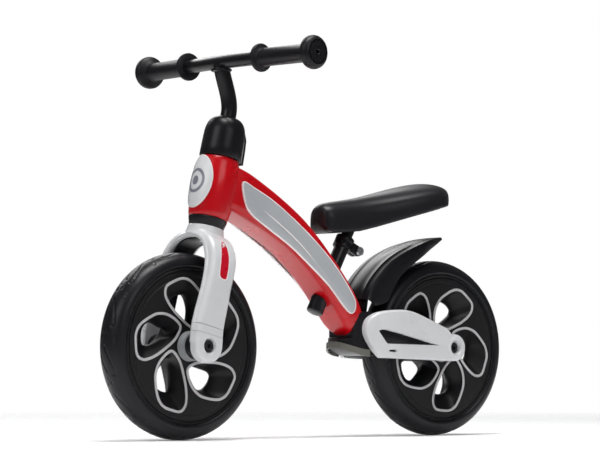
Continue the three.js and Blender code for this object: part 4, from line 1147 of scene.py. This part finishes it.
# everything outside the tray's plan, to be cut away
planBack, planFront, planSide = yoke["taperFrom"], 20, 70
outsidePlan = trayEdge(0, planBack) + [(planBack, -planSide), (planFront, -planSide), (planFront, planSide),
                                       (planBack, planSide)]
beyond = upright(outsidePlan, 60, 260)
rearHub = turnAcross(-wheel["halfBase"], wheel["height"])
room = rod(yoke["tyreRoom"], yoke["inside"], 128)
axleHole = rod(yoke["axleHole"], 60, 24)
yokeBody = carved(plate(yokeShape, -yoke["outside"], yoke["outside"], edge=2.5), room, axleHole, beyond)
finished(yokeBody, "rearYoke", "frame", *satin, ["rear_yoke"], sharp=32)

# the band's olive grey is partly its own colour and partly a painted reflection of the floor on the tray's
# glossy lower wall
bandInner, bandOuter = (trayEdge(grow, yoke["bandBack"]) for grow in (0.3, 0.3 + yoke["bandWall"]))
bandRings = []
for a, b in zip(bandInner, bandOuter):
    # the band climbs with the underside of the tray
    climb = 13 * max(0, (a[0] - yoke["bandBack"]) / 39) ** 1.7
    low, high = yoke["bandLow"] + climb, yoke["bandHigh"] + climb * 0.9
    bandRings.append([(*a, low), (*b, low), (*b, high), (*a, high)])
finished(lofted(bandRings), "trayBand", "frame", "grey_plastic", "bandGreyAndReflection", ["tray_band"])

cover = {"inside": 41.8, "outside": 52.5, "edge": 3.6, "boss": 19.5}
coverShape = curveThrough([(-76, 136), (-71.5, 147), (-71.5, 157), (-76, 167),
                           (-87, 174.5),
                           (-104, 178.8), (-132, 180.5), (-152, 178), (-185, 167),
                           (-218, 155)], per=5)
for i in range(13):
    angle = math.pi * (0.4 + 1.1 * i / 12)
    coverShape.append(Vector((-wheel["halfBase"] + cover["boss"] * math.cos(angle),
                              wheel["height"] + cover["boss"] * math.sin(angle))))
coverShape += [Vector(p) for p in ((-200, 108.5), (-96, 112), (-86, 121))]
pocketShape = [(-90, 151), (-99, 153), (-201, 130), (-104, 132)]


def pocketOutline(scale, low):
    middle = Vector((-118, 141))
    corners = [middle + (Vector(p) - middle) * scale for p in pocketShape]
    soft = []
    for i, corner in enumerate(corners):
        before, after = corners[i - 1], corners[(i + 1) % 4]
        for share in (0.0, 0.35, 0.65, 1.0):
            a = corner + (before - corner).normalized() * 3 * (1 - share)
            b = corner + (after - corner).normalized() * 3 * share
            soft.append(a * (1 - share) + b * share)
    return [(p.x, low, p.y) for p in soft]


for sideName, side in sides:
    turn = flipped[side]
    body = plate(coverShape, cover["inside"], cover["outside"], edge=cover["edge"], segments=5,
                 keep=lambda e: min(v.co.y for v in e.verts) > 50)
    pocket = lofted([pocketOutline(0.94, 47.5), pocketOutline(0.96, 50), pocketOutline(1.02, 52.2),
                     pocketOutline(1.12, 55)])
    well = placed(spun([(0, 30), (8.1, 30), (8.1, 46.5), (8.6, 50), (10.4, 52.6), (11.4, 56), (0, 56)],
                       steps=64), rearHub)
    slotCut = plate([(-118, 120), (-107, 120.6), (-106.4, 122.2), (-107, 124), (-118, 123.6), (-119, 122)],
                    50, 56)
    made = closedIn(carved(body, pocket, well, slotCut))
    finished(placed(made, turn), f"rearCover_{sideName}", "frame", *white,
             [f"rear_cover_{sideName}"], sharp=30)
    ring = placed(spun([(11.2, 51.9), (11.8, 53.2), (12.8, 53.6), (14.6, 53.4), (15.4, 52.4), (15.4, 51.5),
                        (11.2, 51.5)],
                       steps=72, closed=True), rearHub)
    finished(placed(ring, turn), f"rearCoverRing_{sideName}", "frame", *white)
    insert = plate([(p[0], p[2]) for p in pocketOutline(0.99, 0)], 46.6, 48.4, edge=0.3, segments=2)
    finished(placed(closedIn(insert), turn), f"coverInsert_{sideName}", "frame", *satin,
             [f"cover_insert_{sideName}"])
for sideName, side in sides:
    strip = plate([(-117.4, 120.8), (-107.6, 121.2), (-107.4, 123.2), (-117.6, 123)], 49.6, 50.6)
    finished(placed(closedIn(strip), flipped[side]), f"coverSlot_{sideName}", "frame",
             *satin)
print("rear end made")

# what stays as it is in the frame gets its finish
carried = {
    "zincSteel": ["steerer_tube", "seat_clamp_nut", "steerer_clamp_bolt", "lower_headset_bearing",
                  "upper_headset_bearing", "front_axle_nut", "rear_axle_nut", "front_bearing_left",
                  "front_bearing_right", "rear_bearing_left", "rear_bearing_right"],
    "darkSteel": ["front_axle", "rear_axle"],
    "powderBlack": ["seat_post", "steerer_clamp"],
}
for look, nodeNames in carried.items():
    for nodeName in nodeNames:
        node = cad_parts[nodeName]
        node.data.materials.clear()
        node.data.materials.append(finish[look])

# floor, fading out into the plain background
floorMesh = bmesh.new()
bmesh.ops.create_circle(floorMesh, cap_ends=True, segments=96, radius=studio["floorEnd"] + 0.2)
floorData = bpy.data.meshes.new("floor")
floorMesh.to_mesh(floorData)
floorMesh.free()
floor = bpy.data.objects.new("floor", floorData)
bpy.context.scene.collection.objects.link(floor)
floorLook = bpy.data.materials.new("floorPaint")
floorLook.use_nodes = True
floorNodes, floorLinks = floorLook.node_tree.nodes, floorLook.node_tree.links
paint = floorNodes["Principled BSDF"]
paint.inputs["Base Color"].default_value = (*studio["floorColour"], 1)
paint.inputs["Roughness"].default_value = 0.8
paint.inputs["Emission Color"].default_value = (1, 1, 1, 1)
paint.inputs["Emission Strength"].default_value = studio["floorGlow"]
floorPlace = floorNodes.new("ShaderNodeTexCoord")
reach = floorNodes.new("ShaderNodeVectorMath")
reach.operation = "LENGTH"
fade = floorNodes.new("ShaderNodeMapRange")
fade.interpolation_type = "SMOOTHSTEP"
fade.inputs["From Min"].default_value = studio["floorSolid"]
fade.inputs["From Max"].default_value = studio["floorEnd"]
fade.inputs["To Min"].default_value = 1
fade.inputs["To Max"].default_value = 0
floorLinks.new(floorPlace.outputs["Object"], reach.inputs[0])
floorLinks.new(reach.outputs["Value"], fade.inputs["Value"])
floorLinks.new(fade.outputs["Result"], paint.inputs["Alpha"])
floorData.materials.append(floorLook)
